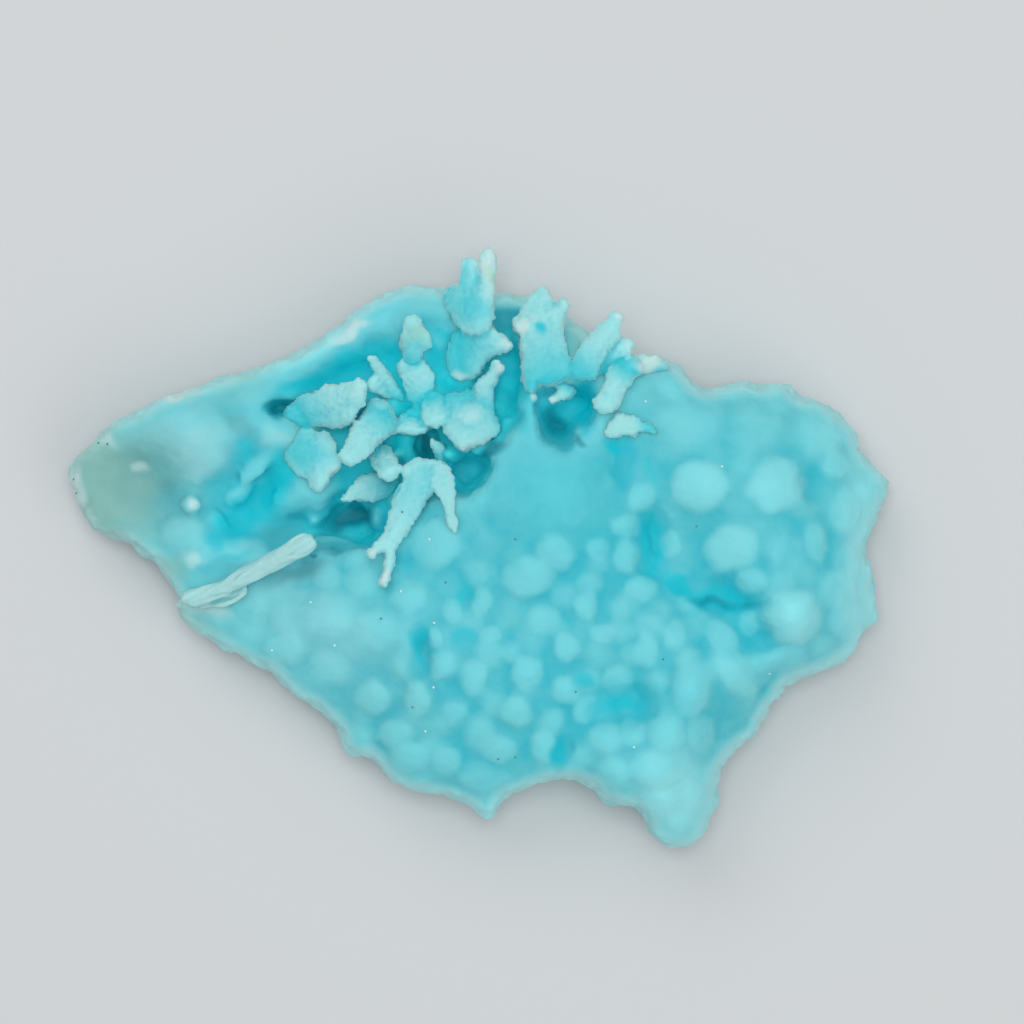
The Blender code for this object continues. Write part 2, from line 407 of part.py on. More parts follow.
def rim_distance(at, rim=RIM):
    """How far each point lies from the rim, in the plane of the plate."""
    nearest = np.full(len(at), np.inf)
    for corner, side in zip(rim, np.roll(rim, -1, 0) - rim):
        share = np.clip(((at - corner) @ side) / (side @ side), 0, 1)
        nearest = np.minimum(nearest, np.linalg.norm(at - corner - share[:, None] * side, axis=1))
    return nearest


def inside_rim(at):
    """Whether each point lies inside the rim, by counting the sides that a line from it crosses."""
    inside = np.zeros(len(at), bool)
    for (x0, y0), (x1, y1) in zip(RIM, np.roll(RIM, -1, 0)):
        spans = (y0 > at[:, 1]) != (y1 > at[:, 1])
        crossing = x0 + (at[:, 1] - y0) * (x1 - x0) / (y1 - y0 if y1 != y0 else 1)
        inside ^= spans & (at[:, 0] < crossing)
    return inside


def rounding(distance, radius, squareness=2.0):
    """From 0 at the rim to 1 a radius inside it: a quarter circle, or boxier with more squareness."""
    return (1 - (1 - np.clip(distance / radius, 0, 1)) ** squareness) ** (1 / squareness)


def crust_level(at):
    """Height of the crust before the hollows."""
    bend = rounding(rim_distance(at), FRONT_ROUNDING, FRONT_SQUARENESS)
    return RIM_LEVEL + (front_sheet(at) - RIM_LEVEL) * bend


def oval_distance(at, x, y, length, width, turn):
    """1 on the edge of a turned oval, less inside it."""
    angle = math.radians(turn)
    away = at - (x, y)
    along = away @ (math.cos(angle), math.sin(angle))
    across = away @ (-math.sin(angle), math.cos(angle))
    return np.hypot(along / length, across / width)


def inside_any(at, ovals):
    return np.min([oval_distance(at, *oval) for oval in ovals], axis=0) < 1


def front_level(at):
    """Height of the front with its hollows and clefts."""
    level = crust_level(at)
    for x, y, length, width, turn, floor, flat in HOLLOWS:
        climb = np.clip((oval_distance(at, x, y, length, width, turn) - flat) / (WALL_END - flat), 0, 1)
        sunk = 1 - climb**2 * (3 - 2 * climb)
        level += np.minimum(floor - level, 0) * sunk
    return level


def back_level(at):
    """Height of the underside, which rises to the rim."""
    return RIM_LEVEL + (BACK_LEVEL - RIM_LEVEL) * rounding(rim_distance(at), BACK_ROUNDING)


def mesh_object(name, mesh, collection):
    obj = bpy.data.objects.new(name, mesh)
    collection.objects.link(obj)
    return obj


def evaluated_mesh(obj):
    """The object's mesh with its modifiers applied. The object itself is removed."""
    bpy.context.view_layer.update()
    mesh = bpy.data.meshes.new_from_object(obj.evaluated_get(bpy.context.evaluated_depsgraph_get()))
    mesh.transform(obj.matrix_world)
    bpy.data.objects.remove(obj, do_unlink=True)
    return mesh


def remeshed(mesh, voxel, collection):
    obj = mesh_object("blank", mesh, collection)
    remesh = obj.modifiers.new("grown_together", "REMESH")
    remesh.mode = "VOXEL"
    remesh.voxel_size = voxel * MM
    return evaluated_mesh(obj)


def blank(rim, voxel, collection):
    """The outline, cut out of a slab."""
    curve = bpy.data.curves.new("outline", "CURVE")
    curve.dimensions = "2D"
    curve.fill_mode = "BOTH"
    curve.extrude = BLANK_THICKNESS / 2 * MM
    spline = curve.splines.new("POLY")
    spline.points.add(len(rim) - 1)
    for point, (x, y) in zip(spline.points, rim):
        point.co = (x * MM, y * MM, 0, 1)
    spline.use_cyclic_u = True
    mesh = evaluated_mesh(mesh_object("outline", curve, collection))
    shape = bmesh.new()
    shape.from_mesh(mesh)
    bmesh.ops.remove_doubles(shape, verts=shape.verts, dist=1e-6)
    shape.to_mesh(mesh)
    shape.free()
    return remeshed(mesh, voxel, collection)


def swelled(mesh, levels):
    """The blank with its two sides moved to the levels of the front and the back at each place."""
    points = np.empty(len(mesh.vertices) * 3)
    mesh.vertices.foreach_get("co", points)
    points = points.reshape(-1, 3) / MM
    share = np.clip(points[:, 2] / BLANK_THICKNESS + 0.5, 0, 1)
    front, back = levels(points[:, :2])
    points[:, 2] = back + (front - back) * share
    mesh.vertices.foreach_set("co", (points * MM).ravel())
    return mesh


def dome_rise(at, domes):
    """How far the domes rise over the front at each place."""
    highest = np.zeros(len(at))
    for *oval, rise in domes:
        top = np.clip(1 - oval_distance(at, *oval) ** 2, 0, 1) ** DOME_ROUNDNESS
        highest = np.maximum(highest, rise * math.sqrt(oval[2] * oval[3]) * top)
    return highest


def plate_levels(domes):
    """The heights of the front with its domes and of the back, as a function of x and y."""
    def levels(at):
        return front_level(at) + dome_rise(at, domes), back_level(at)

    return levels


def limb(name, collection):
    """A limb of its outline, rounded to its edges, that rises from its foot to its tip.

    One that doesn't stand clear also reaches down from its foot into the floor of the hollow.
    """
    outline, foot, tip, thickness = LIMBS[name]
    rim = smooth_loop(outline, LIMB_STEPS)
    start, run = np.array(foot[:2]), np.subtract(tip[:2], foot[:2])

    def levels(at):
        along = np.clip((at - start) @ run / (run @ run), 0, 1)
        middle = foot[2] + (tip[2] - foot[2]) * along
        swell = thickness / 2 * rounding(rim_distance(at, rim) + EDGE, ROUND_SHARE * thickness)
        sunk = 0 if name in STANDING else (middle - FOOT_LEVEL) * np.clip(1 - along / FOOT_REACH, 0, 1)
        return middle + swell, middle - swell - sunk

    return swelled(blank(rim, LIMB_BLANK_VOXEL, collection), levels)


def add_balls(growths, balls):
    """Adds oval balls by centre and half sizes in millimetres, turn in degrees and fineness."""
    for first in range(0, len(balls), BATCH):
        batch = bmesh.new()
        for place, sizes, turn, fineness in balls[first : first + BATCH]:
            frame = Matrix.Translation(Vector(place) * MM) @ Matrix.Rotation(math.radians(turn), 4, "Z")
            frame = frame @ Matrix.Diagonal((*(size * MM for size in sizes), 1))
            bmesh.ops.create_icosphere(batch, subdivisions=fineness, radius=1, matrix=frame)
        mesh = bpy.data.meshes.new("batch")
        batch.to_mesh(mesh)
        batch.free()
        growths.from_mesh(mesh)
        bpy.data.meshes.remove(mesh)


def packed_places(step, shake, dice):
    """Places inside the rim, in staggered rows with each place shaken."""
    low, high = RIM.min(0), RIM.max(0)
    places = []
    for row, y in enumerate(np.arange(low[1], high[1], step * math.sqrt(0.75))):
        for x in np.arange(low[0] + step / 2 * (row % 2), high[0], step):
            places.append((x + dice.uniform(-shake, shake), y + dice.uniform(-shake, shake)))
    places = np.array(places)
    return places[inside_rim(places) & (rim_distance(places) > SMALL_DOME_MARGIN)]


def all_domes(dice):
    """The large domes where they grew, and small ones packed between them."""
    domes = [(*oval, rise * DOME_LIFT) for *oval, rise in DOMES]
    grid = packed_places(SMALL_DOME_SPACING, SMALL_DOME_SHAKE, dice)
    taken = inside_any(grid, BARE) | inside_any(grid, [row[:5] for row in DOMES])
    grid = grid[(crust_level(grid) - front_level(grid) < LEVEL_CRUST) & ~taken]
    calm = np.where(inside_any(grid, CALM), CALM_RISE, 1)
    for (x, y), share in zip(grid, calm):
        radius, stretch = dice.uniform(*SMALL_DOME_RADIUS), dice.uniform(*SMALL_DOME_STRETCH)
        rise, turn = dice.uniform(*SMALL_DOME_RISE), dice.uniform(*ANY_TURN)
        domes.append((x, y, radius * stretch, radius, turn, rise * share))
    return domes


def add_druse(growths, dice):
    """Lumps all over the floors and walls of the hollows, and the knobs that stand up from them."""
    balls = []
    grid = packed_places(DRUSE_SPACING, DRUSE_SHAKE, dice)
    grid = grid[crust_level(grid) - front_level(grid) > DRUSE_DEPTH]
    for (x, y), level in zip(grid, front_level(grid)):
        radius, height = dice.uniform(*DRUSE_RADIUS), dice.uniform(*DRUSE_HEIGHT)
        sizes = (radius * DRUSE_STRETCH, radius, radius * height)
        balls.append(((x, y, level), sizes, dice.uniform(*ANY_TURN), COARSE))
    floors = front_level(np.array([knob[:2] for knob in KNOBS], float))
    for (x, y, top, length, width, turn), floor in zip(KNOBS, floors):
        sizes = (length, width, (top - floor) / 2 + SUNK_SHARE)
        balls.append(((x, y, (top + floor) / 2), sizes, turn, FINE))
    add_balls(growths, balls)


def add_back_lumps(growths, dice):
    """The broken, knobbly underside between the cut and the rim."""
    balls = []
    (left, front), (right, back) = RIM.min(0), RIM.max(0)
    tries = np.array([(dice.uniform(left, right), dice.uniform(front, back)) for _ in range(BACK_TRIES)])
    distance = rim_distance(tries)
    grows = inside_rim(tries) & (distance > BACK_LUMP_MARGIN) & (distance < BACK_ROUNDING / 2)
    found = list(zip(tries[grows], back_level(tries)[grows], distance[grows]))
    for (x, y), level, inward in found[:BACK_LUMPS]:
        radius = min(dice.uniform(*BACK_LUMP_RADIUS), inward)
        place = (x, y, level + radius * SUNK_SHARE)
        sizes = tuple(radius * share for share in BACK_LUMP_SHAPE)
        balls.append((place, sizes, dice.uniform(*ANY_TURN), COARSE))
    add_balls(growths, balls)


def largest_body(mesh):
    """Keeps only the largest connected body of the mesh."""
    shape = bmesh.new()
    shape.from_mesh(mesh)
    waiting = set(shape.verts)
    bodies = []
    while waiting:
        body, edge = set(), [waiting.pop()]
        while edge:
            vert = edge.pop()
            body.add(vert)
            for link in vert.link_edges:
                other = link.other_vert(vert)
                if other in waiting:
                    waiting.discard(other)
                    edge.append(other)
        bodies.append(body)
    bodies.sort(key=len)
    for body in bodies[:-1]:
        bmesh.ops.delete(shape, geom=list(body), context="VERTS")
    shape.to_mesh(mesh)
    shape.free()
    return mesh


def sides_group(obj):
    """A vertex group of the broken sides and underside, and the number of its vertices."""
    group = obj.vertex_groups.new(name="sides")
    sides = [v.index for v in obj.data.vertices if v.co.z < RIM_LEVEL * MM and v.normal.z < 0]
    group.add(sides, 1.0, "REPLACE")
    return group.name, len(sides)


def broken_sides(mesh, collection):
    """Roughens the sides and the underside, as where a specimen was broken from its rock."""
    obj = mesh_object("broken", mesh, collection)
    texture = bpy.data.textures.new("broken", "CLOUDS")
    texture.noise_scale = BROKEN_GRAIN * MM
    displace = obj.modifiers.new("broken", "DISPLACE")
    displace.texture = texture
    displace.strength = BROKEN_DEPTH * MM
    displace.vertex_group = sides_group(obj)[0]
    return evaluated_mesh(obj)


def thinned(mesh, collection):
    """The mesh in fewer triangles: first the sides and the underside alone, and then all of it."""
    obj = mesh_object("thinned", mesh, collection)
    obj.modifiers.new("triangles", "TRIANGULATE")
    smooth = obj.modifiers.new("worn", "SMOOTH")
    smooth.iterations = SMOOTHING_ROUNDS
    every, (sides, points) = 2 * len(mesh.polygons), sides_group(obj)
    kept = every - 2 * points + SIDE_TRIANGLES
    for name, ratio, group in (("sides", kept / every, sides), ("facets", TRIANGLES / kept, "")):
        decimate = obj.modifiers.new(name, "DECIMATE")
        decimate.ratio = ratio
        decimate.vertex_group = group
    return evaluated_mesh(obj)


def cut_flat(mesh):
    """Cuts the underside off flat and brings the middle of the cut block to the origin."""
    shape = bmesh.new()
    shape.from_mesh(mesh)
    everything = shape.verts[:] + shape.edges[:] + shape.faces[:]
    level = (0, 0, CUT_LEVEL * MM)
    cut = bmesh.ops.bisect_plane(
        shape, geom=everything, dist=1e-7, plane_co=level, plane_no=(0, 0, 1), clear_inner=True
    )
    rim = [item for item in cut["geom_cut"] if isinstance(item, bmesh.types.BMEdge)]
    bmesh.ops.holes_fill(shape, edges=rim)
    bmesh.ops.triangulate(shape, faces=shape.faces)
    bmesh.ops.recalc_face_normals(shape, faces=shape.faces)
    shape.to_mesh(mesh)
    shape.free()
    corners = np.array([vertex.co for vertex in mesh.vertices])
    middle = (corners.min(0) + corners.max(0)) / 2
    mesh.transform(Matrix.Translation((-middle[0], -middle[1], -corners[:, 2].min())))
    return mesh


def aragonite_material():
    material = bpy.data.materials.new("blue_aragonite")
    material.use_nodes = True
    shader = material.node_tree.nodes["Principled BSDF"]
    shader.inputs["Base Color"].default_value = PALE_BLUE
    shader.inputs["Roughness"].default_value = 0.6
    shader.inputs["Metallic"].default_value = 0.0
    shader.inputs["IOR"].default_value = 1.6
    return material


def main():
    clear_scene()
    part = collection_named("blue_aragonite")
    dice = random.Random(SEED)
    growths = bmesh.new()
    growths.from_mesh(swelled(blank(RIM, BLANK_VOXEL, part), plate_levels(all_domes(dice))))
    add_druse(growths, dice)
    add_back_lumps(growths, dice)
    for name in LIMBS:
        growths.from_mesh(limb(name, part))
    mesh = bpy.data.meshes.new("growths")
    growths.to_mesh(mesh)
    growths.free()
    mesh = thinned(broken_sides(remeshed(mesh, JOIN_VOXEL, part), part), part)
    mesh = largest_body(cut_flat(mesh))
    mesh.name = NODE
    aragonite = mesh_object(NODE, mesh, part)
    aragonite.data.materials.append(aragonite_material())
    aragonite.data.shade_smooth()


main()
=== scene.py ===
"""Blue aragonite on its flat-cut back: a crust of grape-like domes, and a hollow full of crystal fingers.

The tables are in millimetres on the specimen's own grid, seen from the front, with z above the flat cut.
"""

import math
import random

import bmesh
import bpy
import numpy as np
from mathutils import Matrix, Vector, noise
from mathutils.bvhtree import BVHTree


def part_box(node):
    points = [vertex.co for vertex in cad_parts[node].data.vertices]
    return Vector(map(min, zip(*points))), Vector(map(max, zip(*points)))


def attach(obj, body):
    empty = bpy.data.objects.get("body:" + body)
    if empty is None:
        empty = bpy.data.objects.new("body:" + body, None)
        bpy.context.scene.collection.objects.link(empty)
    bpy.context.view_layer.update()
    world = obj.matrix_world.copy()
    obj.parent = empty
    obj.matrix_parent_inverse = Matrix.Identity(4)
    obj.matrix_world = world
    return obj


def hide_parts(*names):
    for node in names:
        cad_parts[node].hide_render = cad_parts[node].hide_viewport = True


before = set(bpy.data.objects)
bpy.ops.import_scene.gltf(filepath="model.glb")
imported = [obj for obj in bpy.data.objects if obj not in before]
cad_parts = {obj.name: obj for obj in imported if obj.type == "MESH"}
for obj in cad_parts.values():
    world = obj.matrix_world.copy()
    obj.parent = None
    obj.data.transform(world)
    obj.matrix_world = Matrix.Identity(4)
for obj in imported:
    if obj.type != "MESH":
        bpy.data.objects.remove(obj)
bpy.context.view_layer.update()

# The plate
# A slab of aragonite that grew out from its rock as a crust of domes, each a ball of fibres finer than a hair.
# Its sides are broken and its back is cut flat. All of it is one growth, in place of the plain solid.
MM = 0.001
# The noise that moves outlines about is seeded like the dice, so every run gives the same shapes.
SEED = 20
dice = random.Random(SEED)
noise.seed_set(SEED)
OUTLINE = (
    (-70.4, 12.0), (-69.3, 7.5), (-67.0, 4.4), (-65.8, 2.4), (-62.5, 1.2), (-60.2, 0.7), (-57.8, -1.5),
    (-55.4, -3.0), (-53.2, -6.3), (-51.3, -9.5), (-51.6, -11.0), (-50.4, -13.2), (-47.6, -15.5), (-43.4, -17.8),
    (-38.8, -20.3), (-35.6, -21.6), (-33.2, -24.3), (-30.6, -26.4), (-27.6, -28.0), (-24.0, -31.6),
    (-23.6, -34.0), (-21.2, -36.2), (-18.6, -36.2), (-16.0, -39.4), (-12.8, -41.6), (-9.6, -42.2),
    (-5.0, -43.2), (-1.4, -45.0), (1.4, -46.8), (4.2, -43.4), (8.2, -41.4), (12.8, -40.0), (15.8, -39.9),
    (19.2, -41.0), (20.6, -42.8), (23.4, -44.1), (26.6, -44.6), (28.2, -47.0), (30.0, -50.0), (33.4, -51.6),
    (37.2, -50.4), (39.2, -46.8), (40.2, -44.0), (40.0, -41.4), (41.6, -37.4), (44.2, -34.4), (47.4, -32.4),
    (48.2, -29.6), (50.6, -26.4), (52.2, -23.8), (56.0, -22.2), (60.6, -20.6), (64.2, -18.0), (65.6, -15.2),
    (68.0, -12.4), (67.4, -8.8), (67.2, -4.8), (65.7, -1.6), (66.4, 1.6), (68.2, 6.0), (70.2, 9.4),
    (67.6, 13.4), (65.0, 16.0), (63.8, 19.8), (60.8, 22.6), (57.4, 24.8), (54.6, 25.2), (52.0, 27.4),
    (48.0, 27.0), (44.6, 27.6), (41.0, 26.8), (38.0, 26.4), (35.8, 28.2), (33.6, 30.8), (30.0, 32.2),
    (25.6, 32.0), (21.6, 33.6), (18.2, 36.2), (14.8, 39.0), (12.4, 41.4), (8.0, 42.4), (2.6, 42.8),
    (-5.4, 43.6), (-10.6, 44.2), (-14.4, 43.4), (-18.0, 42.0), (-22.0, 39.2), (-26.0, 36.2), (-29.6, 33.6),
    (-35.0, 31.4), (-39.4, 29.8), (-44.4, 28.2), (-47.2, 27.4), (-50.4, 26.2), (-54.6, 25.0), (-58.6, 22.6),
    (-63.2, 20.6), (-65.8, 17.6), (-69.4, 15.0),
)
OUTLINE_STEPS = 5
# Heights of the front, away from the rim and the hollows: x, y, z.
FRONT_POSTS = (
    (-68, 12, 15), (-61, 17, 17), (-61, 6, 15), (-57, 12, 14), (-50, 18, 22), (-44, 25, 19), (-52, 2, 16),
    (-48, -9, 17), (-34, 30, 20), (-24, 35, 20), (-13, 41, 20), (0, 42, 19), (12, 39, 20), (20, 30, 25),
    (28, 26, 26), (34, 24, 26), (43, 24, 24), (54, 22, 22), (62, 16, 20), (37, 10, 29), (50, 9, 28.5),
    (44, -1, 27), (58, 6, 24), (67, 9, 17), (64, 0, 20), (57, -1, 25), (65, -10, 18), (53, -12, 29.5),
    (60, -17, 20), (30, 1, 25), (37, -7, 24.3), (45, -14, 25.5), (24, 14, 27), (14, 9, 32.5), (7, 18, 29),
    (-2, 8, 27), (12, -6, 29), (26, 2, 26.5), (20, -10, 28), (0, -10, 27.5), (-9, -2, 24.5), (-13, -10, 26),
    (8, -21, 28.5), (-5, -21, 27.5), (-17, -21, 24), (20, -22, 27.5), (31, -14, 28), (36, -25, 30),
    (44, -22, 26), (50, -24, 20), (24, -27, 25.5), (24, -34, 28.5), (34, -36, 28.5), (34, -46, 23),
    (41, -33, 21), (12, -33, 25.5), (0, -32, 25.5), (2, -41, 21), (-12, -34, 23), (-20, -31, 20),
    (-27, -12, 23), (-29, -4, 18.5), (-38, -12, 19), (-45, -13, 16.5), (-32, -20, 19.5), (-25, -24, 20.5),
)
# Hollows and clefts: x, y, half length, half width, turn in degrees, floor z, share of it that is floor.
HOLLOWS = (
    (-21, 29, 20, 7, 24, 15, 0.1), (-39, 8, 11, 9, 40, 13.5, 0.1), (-16, 18, 17, 13, 15, 15, 0.5),
    (-2, 27, 9, 11, 0, 16, 0.5), (-27, 3, 13, 5.5, 10, 13, 0.3), (-21.5, 4.5, 7, 5, 15, 9.5, 0.3),
    (-2.5, 12.5, 5, 3.6, 45, 14, 0.4), (4.6, 29.5, 12.5, 2.5, 84, 16.5, 0.3),
    (4.6, 38.2, 3.2, 3.4, 0, 15.5, 0.2), (13.4, 21.2, 5.6, 4.2, 75, 17.5, 0.1), (17, 24, 4.2, 2.8, 80, 19, 0.1),
    (11, 24.8, 2.6, 1.8, 40, 21.5, 0), (-34.2, 23.8, 3.2, 1.5, 12, 12, 0.3), (-9.2, 17, 2.8, 1.9, 80, 9, 0.5),
    (-57, 12.5, 4.8, 2.6, -35, 14.4, 0.2), (-7.6, 36.4, 5, 4.5, -50, 18, 0.2),
    (29.4, 0.5, 8, 3.6, 96, 23.2, 0.0), (40, -8.2, 10, 3.4, -14, 22.6, 0.0),
    (47, -15.2, 6, 2.6, -45, 24.2, 0.0), (24, -27, 7, 3.6, 8, 24.6, 0.0),
    (-10.4, -17.5, 5.4, 2.6, 90, 24.2, 0.0), (24.6, 14.6, 7, 2.8, -65, 26, 0.0),
    (56.5, 11, 4.8, 2.6, 85, 23, 0.0), (13.6, -35.6, 3.8, 2.2, 90, 23.6, 0.0),
)
# A hollow's wall ends where the crust is level, this many half widths from its middle.
WALL_END = 1.2
# Domes of the crust: x, y, half length, half width, turn in degrees, rise as a share of the radius.
DOMES = (
    (37, 10, 5.4, 5.2, 0, 0.19), (50, 10, 5.6, 5.4, 0, 0.19), (42.5, -0.5, 5.2, 4.4, 0, 0.17),
    (52.8, -12, 5.3, 5.2, 0, 0.3), (45.4, -12.8, 2.6, 2.2, 90, 0.2), (61.8, 6, 4.6, 3.2, 95, 0.19),
    (56.6, 0.6, 4.4, 2.5, 95, 0.19), (45.6, -6, 3, 2.6, 0, 0.2), (32.2, 0, 2.8, 2.3, 90, 0.26),
    (27.2, 8, 3, 2.5, 90, 0.26), (25, 3.2, 3, 2.8, 0, 0.26), (24.8, -1.8, 3.2, 2.6, 90, 0.26),
    (20, -0.6, 2.3, 2.2, 0, 0.23), (60.5, 13.6, 3, 2.8, 0, 0.23), (66, 9.2, 3.2, 2.6, 0, 0.19),
    (61, -7.6, 4.6, 4.2, 0, 0.19), (62, -13, 4, 3.6, 0, 0.19), (36, 20.5, 7, 5.4, 0, 0.11),
    (57.5, 19, 6, 5, -35, 0.11), (46.5, 19.5, 6, 5, 0, 0.1), (8.5, -5.2, 5.2, 3.8, 10, 0.26),
    (13, -1.4, 3.8, 3.2, 0, 0.2), (-7.4, 0.2, 4.9, 4.8, 0, 0.33), (17.9, -10.2, 2.9, 2.2, 90, 0.33),
    (14.5, -17, 2.9, 2.6, 60, 0.3), (7.9, -21.2, 3.7, 3.1, 95, 0.33), (-6, -20, 3.3, 2.9, 20, 0.33),
    (-1, -22.4, 3.6, 2.7, 90, 0.26), (-4.5, -11, 2.8, 2, 90, 0.3), (0.2, -9.4, 3.2, 2, 90, 0.26),
    (1.6, -15.2, 2.4, 1.8, 20, 0.26), (-7.8, -15.4, 2, 1.6, 90, 0.26), (-12, -8.6, 4, 3.2, 20, 0.26),
    (-18.3, -25.8, 3.6, 3.3, 0, 0.3), (-10.6, -26, 3.3, 2.6, 95, 0.3), (6.2, -27.8, 3.2, 3, 0, 0.3),
    (10.9, -34, 3.6, 2.5, 100, 0.3), (14.6, -24.4, 3.3, 2.8, -35, 0.33), (17.8, -27.6, 2.8, 2.3, 60, 0.33),
    (28, -17.4, 3.6, 2.2, 90, 0.26), (20.6, -15, 2.3, 2, 0, 0.23), (32.7, -15, 2.9, 2.2, 80, 0.26),
    (35.6, -24.6, 5.4, 3.9, 95, 0.3), (31.8, -31.4, 4, 3.7, 0, 0.3), (21.2, -32.4, 3.5, 3.2, 0, 0.3),
    (25.8, -31.6, 3, 2.8, 0, 0.26), (22.2, -38.4, 3.5, 3.3, 30, 0.3), (37.4, -32, 3.8, 3, 90, 0.23),
    (43.2, -21.5, 6.2, 3, -58, 0.26), (41, -15.5, 4, 2.4, -55, 0.23), (-14.4, -32, 3.3, 2.9, 0, 0.3),
    (-12, -36, 3.8, 3.3, 0, 0.3), (-5.6, -36.4, 3, 2.6, 0, 0.26), (-50.4, 1.8, 4.4, 3.6, -20, 0.2),
    (-40.6, -1.2, 5.6, 2.8, -8, 0.2), (-25, -11.4, 5.8, 5.2, 0, 0.14), (-33.2, -17.6, 4, 3.4, 20, 0.17),
    (-26.2, -5.8, 3.2, 2.6, 0, 0.26), (-17.8, -14.2, 4.6, 4.2, 0, 0.17), (-20.2, -6, 3.6, 3, 0, 0.2),
    (3.4, -34.6, 3.6, 3, 0, 0.23), (27.6, -7.4, 3.6, 2.6, 0, 0.23), (10.6, -12.6, 3.4, 3, 0, 0.23),
    (29, -38, 4.4, 3.6, 0, 0.23), (31, -43.6, 3.2, 2.8, 0, 0.25), (36.4, -42.8, 3, 2.8, 0, 0.25),
    (34.4, -47.4, 3, 2.2, 0, 0.2), (-25.6, -20.6, 4.4, 3.6, -30, 0.14), (52, -19.4, 4.6, 3, 10, 0.2),
    (23.4, -22.6, 3.4, 2.8, 20, 0.23), (39.6, -38.6, 2.6, 3.4, 0, 0.2),
)
# Smoother stretches of the crust, and those with no small domes: x, y, half length, half width, turn.
CALM = ((-62, 10, 12, 12, 0), (-30, -13, 20, 10, -30), (46, 8, 22, 18, 0))
BARE = (
    (12, 10, 12.5, 11.5, 0), (-51, 16, 12, 11, 20), (-32, 33, 30, 8, 26), (11, 31, 12, 14, 0),
    (25, 24, 8, 8, 0), (-41, -6, 12, 4, 20),
)
# Knobs that stand up from the floor: x, y, z of the top, half length, half width, turn in degrees.
KNOBS = (
    (-37.4, 14.4, 17.6, 5.4, 2, 52), (-41.2, 9, 16, 3.4, 1.8, 45), (-33.6, 8.4, 15.6, 2.6, 1.8, 30),
    (-45.4, 4, 16.4, 2.4, 1.8, -20), (-17.6, 4.6, 18, 2.1, 1.5, 90), (-49.2, 6.9, 19, 1.8, 1.7, 0),
    (-49, -2.6, 17.6, 2.3, 1.1, -20), (-28, 6.5, 15, 1.1, 0.9, 0), (-28.4, 4.2, 14.6, 1.3, 1, 0),
    (-14.2, 15.5, 17.5, 1.5, 0.9, 10), (-5.2, 15.3, 19.4, 1.5, 1.3, 0), (-25.4, 0, 14.6, 4.4, 2, 0),
    (8.9, 25, 27.5, 0.9, 0.9, 0),
)
# Heights of the rim, and of the back's middle before it is cut off flat at zero.
RIM_LEVEL, BACK_LEVEL = 9.0, -2.5
FRONT_ROUNDING, FRONT_SQUARENESS, BACK_ROUNDING = 7.5, 4.0, 26.0
BLANK_THICKNESS, BLANK_VOXEL, PLATE_VOXEL = 10.0, 0.6, 0.48
SOFTENING_ROUNDS = 22
# How far a knob reaches under the floor, and what share of its radius a back lump's middle lies inside.
KNOB_SINK, LUMP_SINK = 0.5, 0.5
# The large domes stand out this much more before the softening takes it away.
DOME_LIFT = 1.5
# Power of a dome's profile: less makes its sides steeper.
DOME_ROUNDNESS = 0.75
# Size of the slow noise that moves the outlines about, and how far it moves them.
DOME_WANDER, HOLLOW_WANDER = (3.0, 0.7), (3.6, 1.5)
# Balls are made in batches, because adding to a small mesh is quicker.
BATCH = 25
LUMP_FINENESS, KNOB_FINENESS = 2, 3
ANY_TURN = (0, 180)
ROW_SPACING = math.sqrt(0.75)
SMALL_DOME_SPACING, SMALL_DOME_SHAKE, SMALL_DOME_MARGIN = 4.8, 1.6, 1.8
SMALL_DOME_RADIUS, SMALL_DOME_RISE, CALM_RISE = (2.2, 3.4), (0.12, 0.36), 0.5
SMALL_DOME_STRETCH, SMALL_DOME_DEPTH = (1, 1.3), 1.3
DRUSE_SPACING, DRUSE_RADIUS, DRUSE_HEIGHT, DRUSE_DEPTH = 4.0, (1.2, 2.2), (0.4, 0.9), 6.0
DRUSE_STRETCH = 1.2
BACK_LUMPS, BACK_LUMP_RADIUS, BACK_LUMP_SHAPE = 18, (4.5, 7.5), (1.2, 1.0, 0.8)
BACK_LUMP_TRIES, BACK_LUMP_MARGIN = 9, 3
SIDE_TRIANGLES = 33000
BROKEN_GRAIN, BROKEN_DEPTH = 6.0, 3.0
NEARLY_ZERO, CUT_TOLERANCE = 1e-9, 1e-7


def smooth_loop(points, steps):
    """A closed Catmull-Rom curve through the points, with some steps from each point to the next."""
    here = np.array(points, float)
    back, ahead, beyond = np.roll(here, 1, 0), np.roll(here, -1, 0), np.roll(here, -2, 0)
    square, cube = 2 * back - 5 * here + 4 * ahead - beyond, 3 * here - back - 3 * ahead + beyond
    stages = []
    for t in np.arange(steps) / steps:
        stages.append(here + ((ahead - back) * t + square * t**2 + cube * t**3) / 2)
    return np.stack(stages, 1).reshape(-1, 2)


def thin_plate(posts):
    """The smoothest sheet through the posts, as a function of x and y."""
    posts = np.array(posts, float)

    def bend(apart):
        return apart**2 * np.log(apart + NEARLY_ZERO)

    def flat(at):
        return np.column_stack((np.ones(len(at)), at))

    apart = np.linalg.norm(posts[:, None, :2] - posts[None, :, :2], axis=2)
    tilt = flat(posts[:, :2])
    system = np.block([[bend(apart), tilt], [tilt.T, np.zeros((3, 3))]])
    weights = np.linalg.solve(system, np.append(posts[:, 2], np.zeros(3)))

    def level(at):
        reach = np.linalg.norm(at[:, None] - posts[None, :, :2], axis=2)
        return np.hstack((bend(reach), flat(at))) @ weights

    return level


RIM = smooth_loop(OUTLINE, OUTLINE_STEPS)
front_sheet = thin_plate(FRONT_POSTS)


